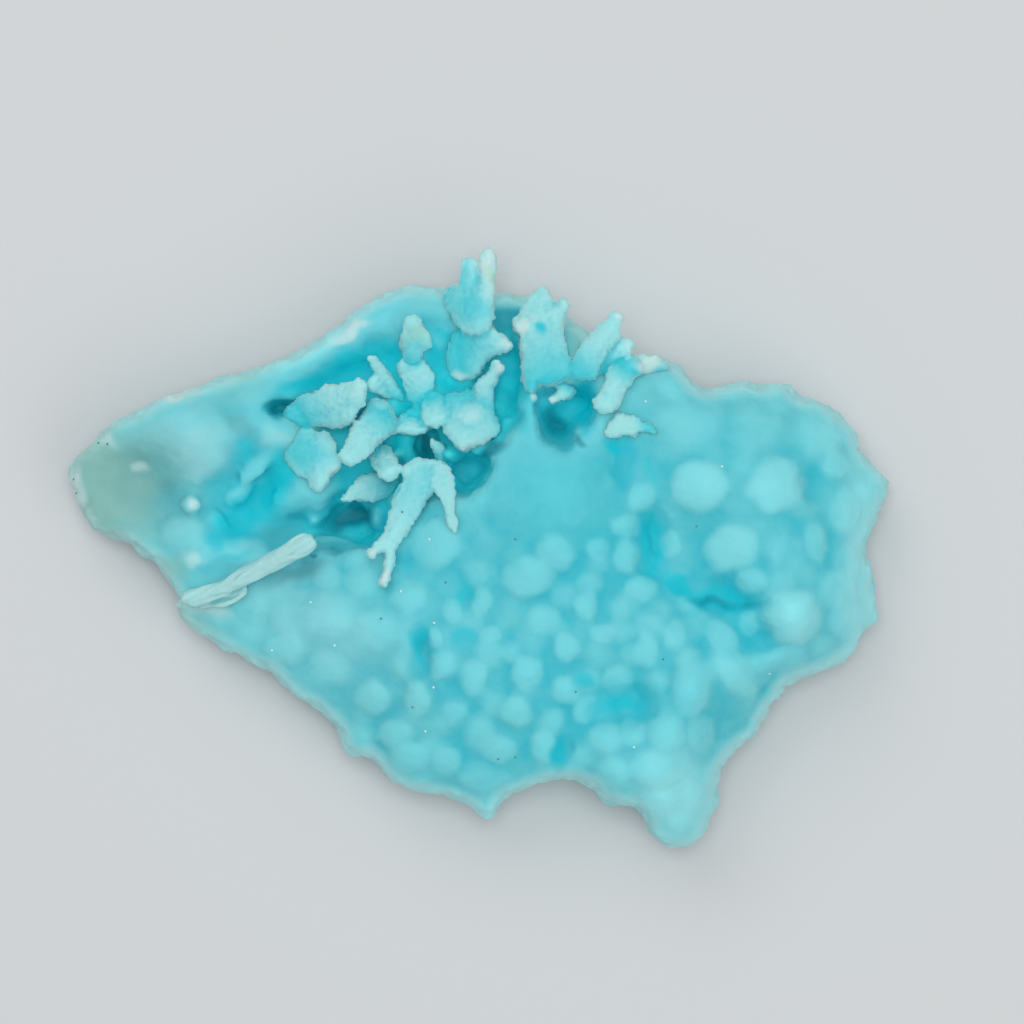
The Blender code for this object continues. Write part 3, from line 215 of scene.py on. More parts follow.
def rim_distance(at, rim=RIM):
    """How far each point lies from the rim, in the plane of the plate."""
    nearest = np.full(len(at), np.inf)
    for corner, side in zip(rim, np.roll(rim, -1, 0) - rim):
        share = np.clip(((at - corner) @ side) / (side @ side), 0, 1)
        nearest = np.minimum(nearest, np.linalg.norm(at - corner - share[:, None] * side, axis=1))
    return nearest


def inside_rim(at, rim=RIM):
    """Whether each point lies inside the rim, by counting the sides that a line from it crosses."""
    inside = np.zeros(len(at), bool)
    for (x0, y0), (x1, y1) in zip(rim, np.roll(rim, -1, 0)):
        spans = (y0 > at[:, 1]) != (y1 > at[:, 1])
        crossing = x0 + (at[:, 1] - y0) * (x1 - x0) / (y1 - y0 if y1 != y0 else 1)
        inside ^= spans & (at[:, 0] < crossing)
    return inside


def rounding(distance, radius, squareness=2.0):
    """From 0 at the rim to 1 a radius inside it: a quarter circle, or boxier with more squareness."""
    return (1 - (1 - np.clip(distance / radius, 0, 1)) ** squareness) ** (1 / squareness)


def crust_level(at):
    """Height of the crust before the hollows."""
    bend = rounding(rim_distance(at), FRONT_ROUNDING, FRONT_SQUARENESS)
    return RIM_LEVEL + (front_sheet(at) - RIM_LEVEL) * bend


def oval_distance(at, x, y, length, width, turn):
    """1 on the edge of a turned oval, less inside it."""
    angle = math.radians(turn)
    away = at - (x, y)
    along = away @ (math.cos(angle), math.sin(angle))
    across = away @ (-math.sin(angle), math.cos(angle))
    return np.hypot(along / length, across / width)


def inside_any(at, ovals):
    return np.min([oval_distance(at, *oval) for oval in ovals], axis=0) < 1


def wandered(at, size, reach):
    """The places moved about by a slow noise, so that what is drawn there gets a wandering edge."""
    return at + reach * np.array([noise.noise_vector((x / size, y / size, 0))[:2] for x, y in at])


def front_level(at):
    """Height of the front with its hollows and clefts, whose outlines wander."""
    level = crust_level(at)
    at = wandered(at, *HOLLOW_WANDER)
    for x, y, length, width, turn, floor, flat in HOLLOWS:
        climb = np.clip((oval_distance(at, x, y, length, width, turn) - flat) / (WALL_END - flat), 0, 1)
        sunk = 1 - climb**2 * (3 - 2 * climb)
        level += np.minimum(floor - level, 0) * sunk
    return level


def back_level(at):
    """Height of the underside, which rises to the rim."""
    return RIM_LEVEL + (BACK_LEVEL - RIM_LEVEL) * rounding(rim_distance(at), BACK_ROUNDING)


def dome_rise(at, domes):
    """How far the domes rise over the front at each place."""
    highest = np.zeros(len(at))
    for *oval, rise in domes:
        top = np.clip(1 - oval_distance(at, *oval) ** 2, 0, 1) ** DOME_ROUNDNESS
        highest = np.maximum(highest, rise * math.sqrt(oval[2] * oval[3]) * top)
    return highest


def dome_tops(at, domes, full_rise):
    """1 in the middle of a dome of full rise, less on a lower one, and 0 at its edge and beyond."""
    highest = np.zeros(len(at))
    for *oval, rise in domes:
        highest = np.maximum(highest, (1 - oval_distance(at, *oval) ** 2) * min(rise / full_rise, 1))
    return highest


def mesh_object(name, mesh):
    obj = bpy.data.objects.new(name, mesh)
    bpy.context.scene.collection.objects.link(obj)
    return obj


def evaluated_mesh(obj):
    """The object's mesh with its modifiers applied. The object itself is removed."""
    bpy.context.view_layer.update()
    mesh = bpy.data.meshes.new_from_object(obj.evaluated_get(bpy.context.evaluated_depsgraph_get()))
    bpy.data.objects.remove(obj, do_unlink=True)
    return mesh


def grown_together(mesh, voxel, softening=0):
    """The outer skin of everything in the mesh, softened some rounds."""
    obj = mesh_object("growing", mesh)
    remesh = obj.modifiers.new("grown_together", "REMESH")
    remesh.mode = "VOXEL"
    remesh.voxel_size = voxel * MM
    if softening:
        obj.modifiers.new("softened", "SMOOTH").iterations = softening
    return evaluated_mesh(obj)


def mesh_points(mesh):
    """The mesh's points in millimetres."""
    points = np.empty(len(mesh.vertices) * 3)
    mesh.vertices.foreach_get("co", points)
    return points.reshape(-1, 3) / MM


def set_points(mesh, points):
    mesh.vertices.foreach_set("co", (points * MM).ravel())
    mesh.update()


def finished_bmesh(shape, name):
    mesh = bpy.data.meshes.new(name)
    shape.to_mesh(mesh)
    shape.free()
    return mesh


def blank(rim, voxel):
    """The outline as a flat slab."""
    shape = bmesh.new()
    face = shape.faces.new([shape.verts.new((x * MM, y * MM, -BLANK_THICKNESS / 2 * MM)) for x, y in rim])
    top = bmesh.ops.extrude_face_region(shape, geom=[face])["geom"]
    lifted = [item for item in top if isinstance(item, bmesh.types.BMVert)]
    bmesh.ops.translate(shape, verts=lifted, vec=(0, 0, BLANK_THICKNESS * MM))
    bmesh.ops.triangulate(shape, faces=shape.faces)
    bmesh.ops.recalc_face_normals(shape, faces=shape.faces)
    return grown_together(finished_bmesh(shape, "blank"), voxel)


def swelled(mesh, levels):
    """The blank with its two sides moved to the levels of the front and the back at each place."""
    points = mesh_points(mesh)
    share = np.clip(points[:, 2] / BLANK_THICKNESS + 0.5, 0, 1)
    front, back = levels(points[:, :2])
    points[:, 2] = back + (front - back) * share
    set_points(mesh, points)
    return mesh


def add_balls(growths, balls):
    """Adds oval balls: each its centre and half sizes in millimetres, turn in degrees and fineness."""
    for first in range(0, len(balls), BATCH):
        batch = bmesh.new()
        for place, sizes, turn, fineness in balls[first : first + BATCH]:
            stand = Matrix.Translation(Vector(place) * MM) @ Matrix.Rotation(math.radians(turn), 4, "Z")
            stand = stand @ Matrix.Diagonal((*(size * MM for size in sizes), 1))
            bmesh.ops.create_icosphere(batch, subdivisions=fineness, radius=1, matrix=stand)
        mesh = finished_bmesh(batch, "batch")
        growths.from_mesh(mesh)
        bpy.data.meshes.remove(mesh)


def packed_places(step, shake):
    """Places inside the rim, in staggered rows with each place shaken."""
    low, high = RIM.min(0), RIM.max(0)
    places = []
    for row, y in enumerate(np.arange(low[1], high[1], step * ROW_SPACING)):
        for x in np.arange(low[0] + step / 2 * (row % 2), high[0], step):
            places.append((x + dice.uniform(-shake, shake), y + dice.uniform(-shake, shake)))
    places = np.array(places)
    return places[inside_rim(places) & (rim_distance(places) > SMALL_DOME_MARGIN)]


def small_domes():
    """Small domes packed between the large ones, as rows of the same numbers."""
    grid = packed_places(SMALL_DOME_SPACING, SMALL_DOME_SHAKE)
    taken = inside_any(grid, BARE) | inside_any(grid, [row[:5] for row in DOMES])
    grid = grid[(crust_level(grid) - front_level(grid) < SMALL_DOME_DEPTH) & ~taken]
    calm = np.where(inside_any(grid, CALM), CALM_RISE, 1)
    rows = []
    for (x, y), share in zip(grid, calm):
        radius, stretch = dice.uniform(*SMALL_DOME_RADIUS), dice.uniform(*SMALL_DOME_STRETCH)
        rise, turn = dice.uniform(*SMALL_DOME_RISE), dice.uniform(*ANY_TURN)
        rows.append((x, y, radius * stretch, radius, turn, rise * share))
    return rows


def plate_levels(at):
    """The heights of the front with its domes and of the back."""
    return front_level(at) + dome_rise(wandered(at, *DOME_WANDER), domes), back_level(at)


def druse():
    """Lumps all over the floors and walls of the hollows, and the knobs that stand up from them."""
    grid = packed_places(DRUSE_SPACING, DRUSE_SPACING / 2)
    grid = grid[crust_level(grid) - front_level(grid) > DRUSE_DEPTH]
    balls = []
    for (x, y), level in zip(grid, front_level(grid)):
        radius, height = dice.uniform(*DRUSE_RADIUS), dice.uniform(*DRUSE_HEIGHT)
        sizes = (radius * DRUSE_STRETCH, radius, radius * height)
        balls.append(((x, y, level), sizes, dice.uniform(*ANY_TURN), LUMP_FINENESS))
    floors = front_level(np.array([knob[:2] for knob in KNOBS], float))
    for (x, y, top, length, width, turn), floor in zip(KNOBS, floors):
        sizes = (length, width, (top - floor) / 2 + KNOB_SINK)
        balls.append(((x, y, (top + floor) / 2), sizes, turn, KNOB_FINENESS))
    return balls


def back_lumps():
    """The broken, knobbly underside between the cut and the rim."""
    (left, front), (right, back) = RIM.min(0), RIM.max(0)
    count = BACK_LUMP_TRIES * BACK_LUMPS
    tries = np.array([(dice.uniform(left, right), dice.uniform(front, back)) for _ in range(count)])
    distance = rim_distance(tries)
    grows = inside_rim(tries) & (distance > BACK_LUMP_MARGIN) & (distance < BACK_ROUNDING / 2)
    grown = list(zip(tries[grows], back_level(tries)[grows], distance[grows]))
    balls = []
    for (x, y), level, inward in grown[:BACK_LUMPS]:
        radius = min(dice.uniform(*BACK_LUMP_RADIUS), inward)
        sizes = tuple(radius * share for share in BACK_LUMP_SHAPE)
        balls.append(((x, y, level + radius * LUMP_SINK), sizes, dice.uniform(*ANY_TURN), LUMP_FINENESS))
    return balls


def broken_sides(mesh):
    """The mesh with rough sides and underside, and few facets there."""
    obj = mesh_object("broken", mesh)
    group = obj.vertex_groups.new(name="sides")
    sides = [v.index for v in mesh.vertices if v.co.z < RIM_LEVEL * MM and v.normal.z < 0]
    group.add(sides, 1.0, "REPLACE")
    texture = bpy.data.textures.new("broken", "CLOUDS")
    texture.noise_scale = BROKEN_GRAIN * MM
    displace = obj.modifiers.new("broken", "DISPLACE")
    displace.texture = texture
    displace.strength = BROKEN_DEPTH * MM
    displace.vertex_group = group.name
    obj.modifiers.new("triangles", "TRIANGULATE")
    decimate = obj.modifiers.new("facets", "DECIMATE")
    every = 2 * len(mesh.polygons)
    decimate.ratio = (every - 2 * len(sides) + SIDE_TRIANGLES) / every
    decimate.vertex_group = group.name
    return evaluated_mesh(obj)


def cut_flat(mesh):
    """Cuts the underside off flat at zero height."""
    shape = bmesh.new()
    shape.from_mesh(mesh)
    everything = shape.verts[:] + shape.edges[:] + shape.faces[:]
    cut = bmesh.ops.bisect_plane(
        shape, geom=everything, dist=CUT_TOLERANCE, plane_co=(0, 0, 0), plane_no=(0, 0, 1), clear_inner=True
    )
    rim = [item for item in cut["geom_cut"] if isinstance(item, bmesh.types.BMEdge)]
    bmesh.ops.holes_fill(shape, edges=rim)
    bmesh.ops.triangulate(shape, faces=[face for face in shape.faces if len(face.verts) > 3])
    shape.to_mesh(mesh)
    shape.free()
    return mesh


scattered = small_domes()
domes = [(*oval, rise * DOME_LIFT) for *oval, rise in DOMES] + scattered
growths = bmesh.new()
growths.from_mesh(swelled(blank(RIM, BLANK_VOXEL), plate_levels))
add_balls(growths, druse() + back_lumps())
plate_mesh = grown_together(finished_bmesh(growths, "plate"), PLATE_VOXEL, SOFTENING_ROUNDS)
plate_mesh = cut_flat(broken_sides(plate_mesh))
# The middle of the tables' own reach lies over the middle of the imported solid's box.
TOP_FINGERTIP = 50.5
grid_middle = ((RIM[:, 0].min() + RIM[:, 0].max()) / 2, (RIM[:, 1].min() + TOP_FINGERTIP) / 2)
cad_middle = (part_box("aragonite")[0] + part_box("aragonite")[1]) / 2
to_row = Matrix.Translation((cad_middle.x - grid_middle[0] * MM, cad_middle.y - grid_middle[1] * MM, 0))

# Relief of the crust's crystal ends: size and height of each grain of it.
RELIEF, STEEP_SHARE = ((2.6, 0.12), (1.0, 0.07)), 3.0
# The broken sides are rougher, out to this far inside the rim.
SIDE_RELIEF, SIDE_REACH = ((3.0, 0.7), (1.2, 0.45), (0.7, 0.2)), 1.6
# Crests are measured against the surface blurred over a spread, and swells over a wider one.
CREST_SPREAD, CREST_RANGE = 2.0, 0.8
SWELL_SPREAD, SWELL_RANGE = 5.0, 3.0
SPREAD_PER_ROUND = 0.4
# The first domes of the table are the clearest, and the material lays their tops paler still as painted light.
DOME_FULL_RISE, GREAT_DOMES = 0.2, 4
# Depth is noted where the front lies sunk in the crust, above the foot of the sides.
HOLLOW_DEPTH, SUNK_FRONT, SIDE_FOOT = 14.0, 1, 5
EDGE_WIDTH, BROKEN_TOP, BROKEN_FADE = 3, RIM_LEVEL - 2, 3
# The upward part of the normal on a side at most, and on a place with a stain or painted light and shade at
# least.
SIDE_SLOPE, MARKED_SLOPE = 0.3, -0.2
CUT_MARGIN = 0.1
# Where the stone is stained or bleached, and where light and shade are painted: x, y, half length, half width,
# turn in degrees, strength.
STAINS_AND_PAINTED_LIGHT = {
    # Painted shade: a deep cyan laid in the clefts and the hollows.
    "painted_shade_cyan": (
        (29, 0, 6, 2.2, 96, 0.9), (41, -9.2, 6.4, 2, -6, 1), (45.4, -14, 5, 1.8, -42, 0.4),
        (24, -27, 5.4, 2, 8, 0.9), (34.4, -6.8, 3.6, 1.4, -38, 0.9), (17.7, -23, 2.4, 1.6, 0, 0.7),
        (-10.3, -17, 4.6, 1.4, 90, 0.8), (13.6, -35.5, 3.2, 1.4, 90, 0.8), (-2.8, -7.7, 2, 2.2, 0, 0.6),
        (-2.6, -15.3, 2, 2, 0, 0.6), (22.5, 16.4, 2, 1.8, 0, 0.8), (28.6, 12.4, 4, 1.4, -80, 0.5),
        (12, 9, 14, 10, 0, 0.4), (21, 1, 8, 5, -20, 0.3), (25, -26, 9, 4.4, 0, 0.4), (-41, 4, 6.4, 3.2, 25, 1),
        (-36, 9.4, 7, 3, 47, 1), (-32.8, 13, 3, 3, 0, 0.9), (-40.4, 16.4, 3.4, 2, 60, 0.8),
        (-45, 1, 2, 2.2, 0, 0.8), (-42, -2.2, 4, 1.4, 0, 0.6), (-29.6, 27.6, 6, 1.8, 22, 1),
        (-22, 30.4, 6, 3.4, 25, 1), (-15, 32.4, 2.4, 3, 0, 1), (-12.6, 26, 2, 5, 15, 1),
        (-7.6, 31.8, 2.2, 3, 40, 1), (-5.6, 28, 2.6, 1.8, 0, 1), (-14.4, 17.6, 2.8, 1.8, 0, 0.9),
        (-21.4, 12.4, 4, 2.4, 30, 1), (17.8, 23.6, 2.2, 4.4, 0, 1), (10, 36, 1.2, 1.6, 0, 0.8),
        (-4, 35.6, 3, 1.4, 0, 1), (-44, 10.6, 3.4, 2.4, 40, 0.6), (7.6, 21.5, 2.4, 5, 0, 0.5),
        (6.2, 29, 2.6, 8, 4, 0.8), (-23.4, 19.3, 3, 0.9, 0, 0.9), (0, 29, 2, 2, 40, 0.9),
    ),
    # Painted shade and shadow: a dark teal laid in the hollows and in the white rods' shadow.
    "painted_shade_teal": (
        (-21.8, 4.6, 4.6, 2.6, 10, 1), (-34, 23.3, 2.2, 1.4, -15, 0.5), (-9.2, 16.8, 1.4, 2.6, 12, 1),
        (2.4, 17, 1.8, 1.4, 0, 0.9), (-3, 12.4, 3.4, 2.6, 55, 0.3), (39.8, -9.5, 4.6, 1.2, -8, 0.6),
        (45.6, -10, 3, 0.8, 0, 0.4), (29, 1, 0.8, 4, 6, 0.35), (12.8, 20.4, 2.8, 4, 10, 0.6),
        (-20.4, 22.6, 0.8, 2.4, -38, 1), (4.2, 37.4, 2.4, 2.6, 0, 0.4), (-32, 5, 4, 1.6, 15, 0.5),
        (-31, -4.6, 6, 1.8, 18, 0.5), (-28.6, -2, 0.9, 0.7, 0, 0.8), (-34, 1.6, 4, 2.4, 20, 0.35),
        (-26, 0, 4.6, 2.4, 0, 0.4), (-41, 20.4, 5, 2, -40, 0.35), (-12.8, 13.4, 0.8, 1.6, 20, 0.7),
        (16.6, 17.9, 1.6, 0.8, -10, 0.6), (-54, 8.6, 3, 2.4, -40, 0.3),
    ),
    # The grey-green of the rock at the left end; the ovals under the white rods and at -41, 20.4 are painted
    # shadow.
    "grey_and_painted_shadow": (
        (-66, 10, 17, 13, 0, 0.8), (-56.5, 12.5, 7, 3.6, -32, 0.5), (-34, 1.6, 4, 2.4, 20, 0.25),
        (-26, 0, 4.6, 2.4, 0, 0.3), (-31, -5, 6.4, 2, 18, 0.3), (16.3, 34.6, 1.8, 3.4, 30, 0.5),
        (5.5, 41.4, 4, 1.6, 0, 0.4), (28.4, 26, 4, 4, 0, 0.2), (-41, 20.4, 5, 2, -40, 0.3),
        (-53, -4, 4, 3, 0, 0.5), (-50, -12, 8, 2.6, -30, 0.5), (-42, 26, 12, 3.4, 20, 0.3),
        (-10, 41, 4, 2, 0, 0.3), (-14, -26, 12, 9, -30, 0.22),
    ),
    "white": (
        (-49.2, 7, 1.2, 1.2, 0, 0.9), (-22.4, 35.9, 4.4, 0.9, 30, 1), (-52, 25.8, 4, 0.8, 8, 1),
        (-69.4, 9.6, 1.4, 4, 8, 0.8), (-58.4, 13.4, 1.6, 1, 0, 0.6), (-64, 18, 2, 1.4, 0, 0.6),
        (30, 30.6, 3, 2, 0, 0.5), (-35, 18.6, 3, 2, 0, 0.4), (-49, -2.6, 2.4, 1.2, -20, 0.6),
        (-46, -11, 5, 1.6, -20, 0.6), (8.9, 25, 0.8, 0.9, 0, 1), (-47.6, 16, 7, 7.5, 20, 0.4),
        (-29, -13, 20, 9, -35, 0.32), (-52, 20, 8, 4, 25, 0.3),
    ),
    # Painted light: pale ovals laid on dome tops and on the rim and slopes at the right and lower right, as if
    # lit.
    "painted_light_spots": (
        (52.8, -12, 5, 5, 0, 0.5), (33, -43, 9, 9, -30, 0.7), (65, -5, 4.6, 24, 0, 0.7),
        (60, 19, 5, 5, -40, 0.4), (43, -22, 6, 3, -58, 0.3),
    ),
}
MARK_WANDER = (3.0, 1.3)
MARK_START, MARK_END = 0.4, 1.4


def roughened(mesh, relief, steep=1.0, turn=0.0, stretch=1.0, share=1.0):
    """Moves each point out or in by the relief's noise, but leaves the flat cut.

    It moves so many times as far on a wall as on level ground, and the noise is drawn out along the turn.
    The share, which may be a number for each point, scales it all.
    """
    points, normals = mesh_points(mesh), mesh_normals(mesh)
    lying = points @ np.array(Matrix.Rotation(math.radians(turn), 3, "Z")) / (stretch, 1, 1)
    reach = share * (1 + (steep - 1) * (1 - np.abs(normals[:, 2])))
    for number, (x, y, z) in enumerate(lying):
        if z > CUT_MARGIN:
            push = sum(height * noise.noise((x / size, y / size, z / size)) for size, height in relief)
            points[number] += push * reach[number] * normals[number]
    set_points(mesh, points)


def mesh_normals(mesh):
    normals = np.empty(len(mesh.vertices) * 3)
    mesh.vertices.foreach_get("normal", normals)
    return normals.reshape(-1, 3)


def blurred(mesh, points, rounds):
    """The points after each has moved to the middle of its neighbours, some rounds."""
    edges = np.empty(len(mesh.edges) * 2, int)
    mesh.edges.foreach_get("vertices", edges)
    start, end = edges.reshape(-1, 2).T
    count = np.bincount(start, minlength=len(points)) + np.bincount(end, minlength=len(points)) + 1
    for _ in range(rounds):
        total = [
            np.bincount(start, points[end, axis], len(points))
            + np.bincount(end, points[start, axis], len(points))
            for axis in range(3)
        ]
        points = (points + np.stack(total, 1)) / count[:, None]
    return points


def crests(mesh, voxel, spread, reach):
    """From 0 in a groove to 1 on a crest, against the surface blurred over the spread."""
    points = mesh_points(mesh)
    rounds = round(spread**2 / (SPREAD_PER_ROUND * voxel**2))
    above = np.einsum("ij,ij->i", points - blurred(mesh, points, rounds), mesh_normals(mesh))
    return 0.5 + above / reach


def stains_and_painted_light(at, marks):
    """How strongly the stains and the painted light and shade show at each place. Their edges wander and fade.
    """
    at = wandered(at, *MARK_WANDER)
    shows = np.zeros(len(at))
    for *oval, strength in marks:
        fade = np.clip((MARK_END - oval_distance(at, *oval)) / (MARK_END - MARK_START), 0, 1)
        shows = np.maximum(shows, strength * fade)
    return shows


def note(mesh, name, values):
    """Keeps a number for each point of the mesh, which its material reads by name."""
    attribute = mesh.attributes.new(name, "FLOAT", "POINT")
    attribute.data.foreach_set("value", np.clip(values, 0, 1).astype(np.float32))


roughened(plate_mesh, RELIEF, STEEP_SHARE)
near_rim = np.clip(1 - rim_distance(mesh_points(plate_mesh)[:, :2]) / SIDE_REACH, 0, 1)
roughened(plate_mesh, SIDE_RELIEF, share=near_rim)
points = mesh_points(plate_mesh)
at, level, up = points[:, :2], points[:, 2], mesh_normals(plate_mesh)[:, 2]
crust, bare_front = crust_level(at), front_level(at)
# The crest, swell and dome measures drive painted light and shade: pale on the tops, a darker cyan in the
# grooves.
note(plate_mesh, "crest", crests(plate_mesh, PLATE_VOXEL, CREST_SPREAD, CREST_RANGE))
note(plate_mesh, "swell", crests(plate_mesh, PLATE_VOXEL, SWELL_SPREAD, SWELL_RANGE))
wandering = wandered(at, *DOME_WANDER)
note(plate_mesh, "dome", dome_tops(wandering, DOMES, DOME_FULL_RISE))
note(plate_mesh, "great_dome", dome_tops(wandering, DOMES[:GREAT_DOMES], DOME_FULL_RISE))
note(plate_mesh, "small_dome", dome_tops(wandering, scattered, SMALL_DOME_RISE[1]))
# Depth in the hollows, which the material lays a stronger cyan as painted shade.
in_hollow = (crust - bare_front > SUNK_FRONT) & (level > SIDE_FOOT)
note(plate_mesh, "depth", (crust - level) / HOLLOW_DEPTH * in_hollow)
# The rim band, which the material lays pale and white as painted light.
note(plate_mesh, "edge", 1 - rim_distance(at) / EDGE_WIDTH)
note(plate_mesh, "broken", (BROKEN_TOP - level) / BROKEN_FADE * (up < SIDE_SLOPE))
# The stains, and the painted light and shade of the ovals, noted for the material.
for name, marks in STAINS_AND_PAINTED_LIGHT.items():
    note(plate_mesh, name, stains_and_painted_light(at, marks) * (up > MARKED_SLOPE))


def srgb(code):
    """A hex colour as linear values."""
    parts = [int(code[at : at + 2], 16) / 255 for at in (1, 3, 5)]
    return (*(part / 12.92 if part <= 0.04045 else ((part + 0.055) / 1.055) ** 2.4 for part in parts), 1.0)


def node(material, kind, links=(), **settings):
    """Adds a node with its settings, and links its inputs to other nodes' outputs or sets them to values."""
    tree = material.node_tree
    made = tree.nodes.new(kind)
    for name, value in settings.items():
        setattr(made, name, value)
    for socket, source in dict(links).items():
        if isinstance(source, bpy.types.NodeSocket):
            tree.links.new(source, made.inputs[socket])
        else:
            made.inputs[socket].default_value = source
    return made


def laid_over(material, under, colour, number, start, full, most=1.0):
    """Lays a colour over the one under it as the number goes from start to full.

    The number is a node's output, or the name of what is noted on the mesh.
    """
    if isinstance(number, str):
        number = node(material, "ShaderNodeAttribute", attribute_name=number).outputs["Fac"]
    steps = {"Value": number, "From Min": start, "From Max": full, "To Max": most}
    share = node(material, "ShaderNodeMapRange", steps, interpolation_type="SMOOTHSTEP").outputs["Result"]
    return node(material, "ShaderNodeMix", {0: share, 6: under, 7: colour}, data_type="RGBA").outputs[2]


def layered(material, colour, layers):
    """Lays each layer over the colour in turn: its own colour, then the number, start, full and most."""
    for layer in layers:
        colour = laid_over(material, colour, *layer)
    return colour


def frosted(material, colour, grain, depth, milkiness):
    """Gives the stone its colour, crystal ends of a size and depth, and the light that wanders in it."""
    shader = material.node_tree.nodes["Principled BSDF"]
    place = node(material, "ShaderNodeTexCoord").outputs["Object"]
    ends = {"Vector": place, "Scale": 1 / (grain * MM), "Detail": 3.0}
    height = node(material, "ShaderNodeTexNoise", ends).outputs["Fac"]
    bump = node(material, "ShaderNodeBump", {"Height": height, "Strength": 0.6, "Distance": depth * MM})
    material.node_tree.links.new(bump.outputs["Normal"], shader.inputs["Normal"])
    material.node_tree.links.new(colour, shader.inputs["Base Color"])
    shader.inputs["Roughness"].default_value = 0.55
    shader.inputs["IOR"].default_value = 1.6
    shader.inputs["Specular IOR Level"].default_value = 0.15
    shader.inputs["Subsurface Weight"].default_value = 0.8
    shader.inputs["Subsurface Radius"].default_value = (0.35, 0.9, 1.0)
    shader.inputs["Subsurface Scale"].default_value = milkiness * MM


def new_material(name):
    material = bpy.data.materials.new(name)
    material.use_nodes = True
    return material


def placed(name, mesh, material):
    """The smooth-shaded mesh as an object of its material, moved to its place in the frame."""
    mesh.transform(to_row)
    mesh.shade_smooth()
    mesh.materials.clear()
    mesh.materials.append(material)
    return mesh_object(name, mesh)


# Botryoidal aragonite: milky fibres that scatter light, with crystal ends that give a frosted skin and no clear
# highlight.
# Light and shade are painted into its colour: the crests, swells, domes and rim are laid pale as painted light,
# and the grooves and hollows a strong cyan as painted shade.
GROOVE_SHADE, CRUST_BLUE, DOME_PAINTED_LIGHT = srgb("#42C8D8"), srgb("#56CAD6"), srgb("#82DEE6")
MOTTLE_PALE = srgb("#90DEDE")
# Painted shade: the strong cyans and the teal are laid in the hollows, the clefts and the shadows.
HOLLOW_CYAN, DEEP_CYAN, TEAL = srgb("#1CDAE6"), srgb("#02CCDC"), srgb("#008C9E")
TAIL_AND_SHADOW_GREY, WHITE, BROKEN_GREY = srgb("#94BAAE"), srgb("#CDE8E6"), srgb("#86BCC2")
# Painted light: a pale colour laid on the rim, the great domes and the pale ovals.
PAINTED_LIGHT_PALE = srgb("#A0ECF0")
MOTTLE_GRAIN = 9.0
botryoidal = new_material("botryoidal_aragonite")
place = node(botryoidal, "ShaderNodeTexCoord").outputs["Object"]
cloudy = {"Vector": place, "Scale": 1 / (MOTTLE_GRAIN * MM)}
mottle = node(botryoidal, "ShaderNodeTexNoise", cloudy).outputs["Fac"]
# Painted shade and light: the grooves keep the darker groove colour, and the crests, swells and dome tops are
# laid paler.
colour = layered(botryoidal, GROOVE_SHADE, (
    (CRUST_BLUE, "crest", 0.2, 0.55),
    (DOME_PAINTED_LIGHT, "swell", 0.4, 0.9, 0.4),
    (DOME_PAINTED_LIGHT, "crest", 0.5, 0.9, 0.35),
    (DOME_PAINTED_LIGHT, "small_dome", 0.0, 0.8, 0.34),
    (DOME_PAINTED_LIGHT, "dome", 0.0, 0.7, 0.6),
    (PAINTED_LIGHT_PALE, "great_dome", 0.0, 0.6, 0.4),
    (MOTTLE_PALE, mottle, 0.4, 0.7, 0.2),
    # Painted light: the rim band is laid pale.
    (PAINTED_LIGHT_PALE, "edge", 0.0, 0.7, 0.85),
    # Painted shade: a stronger cyan deeper in the hollows.
    (HOLLOW_CYAN, "depth", 0.15, 0.5, 0.8),
    # Painted shade: the deep cyan ovals in the clefts and the hollows.
    (DEEP_CYAN, "painted_shade_cyan", 0.0, 1.0, 0.9),
    # The grey of the rock at the left end, and painted shadow under the rods.
    (TAIL_AND_SHADOW_GREY, "grey_and_painted_shadow", 0.0, 1.0, 0.85),
    # Painted shade: the teal ovals in the hollows and the rods' shadow.
    (TEAL, "painted_shade_teal", 0.0, 1.0, 0.9),
    (BROKEN_GREY, "broken", 0.0, 1.0, 0.8),
    # Painted light: the rim's outer edge is laid whiter.
    (WHITE, "edge", 0.3, 1.0, 0.3),
    # Painted light: the pale ovals.
    (PAINTED_LIGHT_PALE, "painted_light_spots", 0.0, 1.0),
    (WHITE, "white", 0.0, 1.0, 0.8),
))
frosted(botryoidal, colour, grain=0.7, depth=0.12, milkiness=3.5)
plate = placed("plate", plate_mesh, botryoidal)
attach(plate, "root")
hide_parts("aragonite")

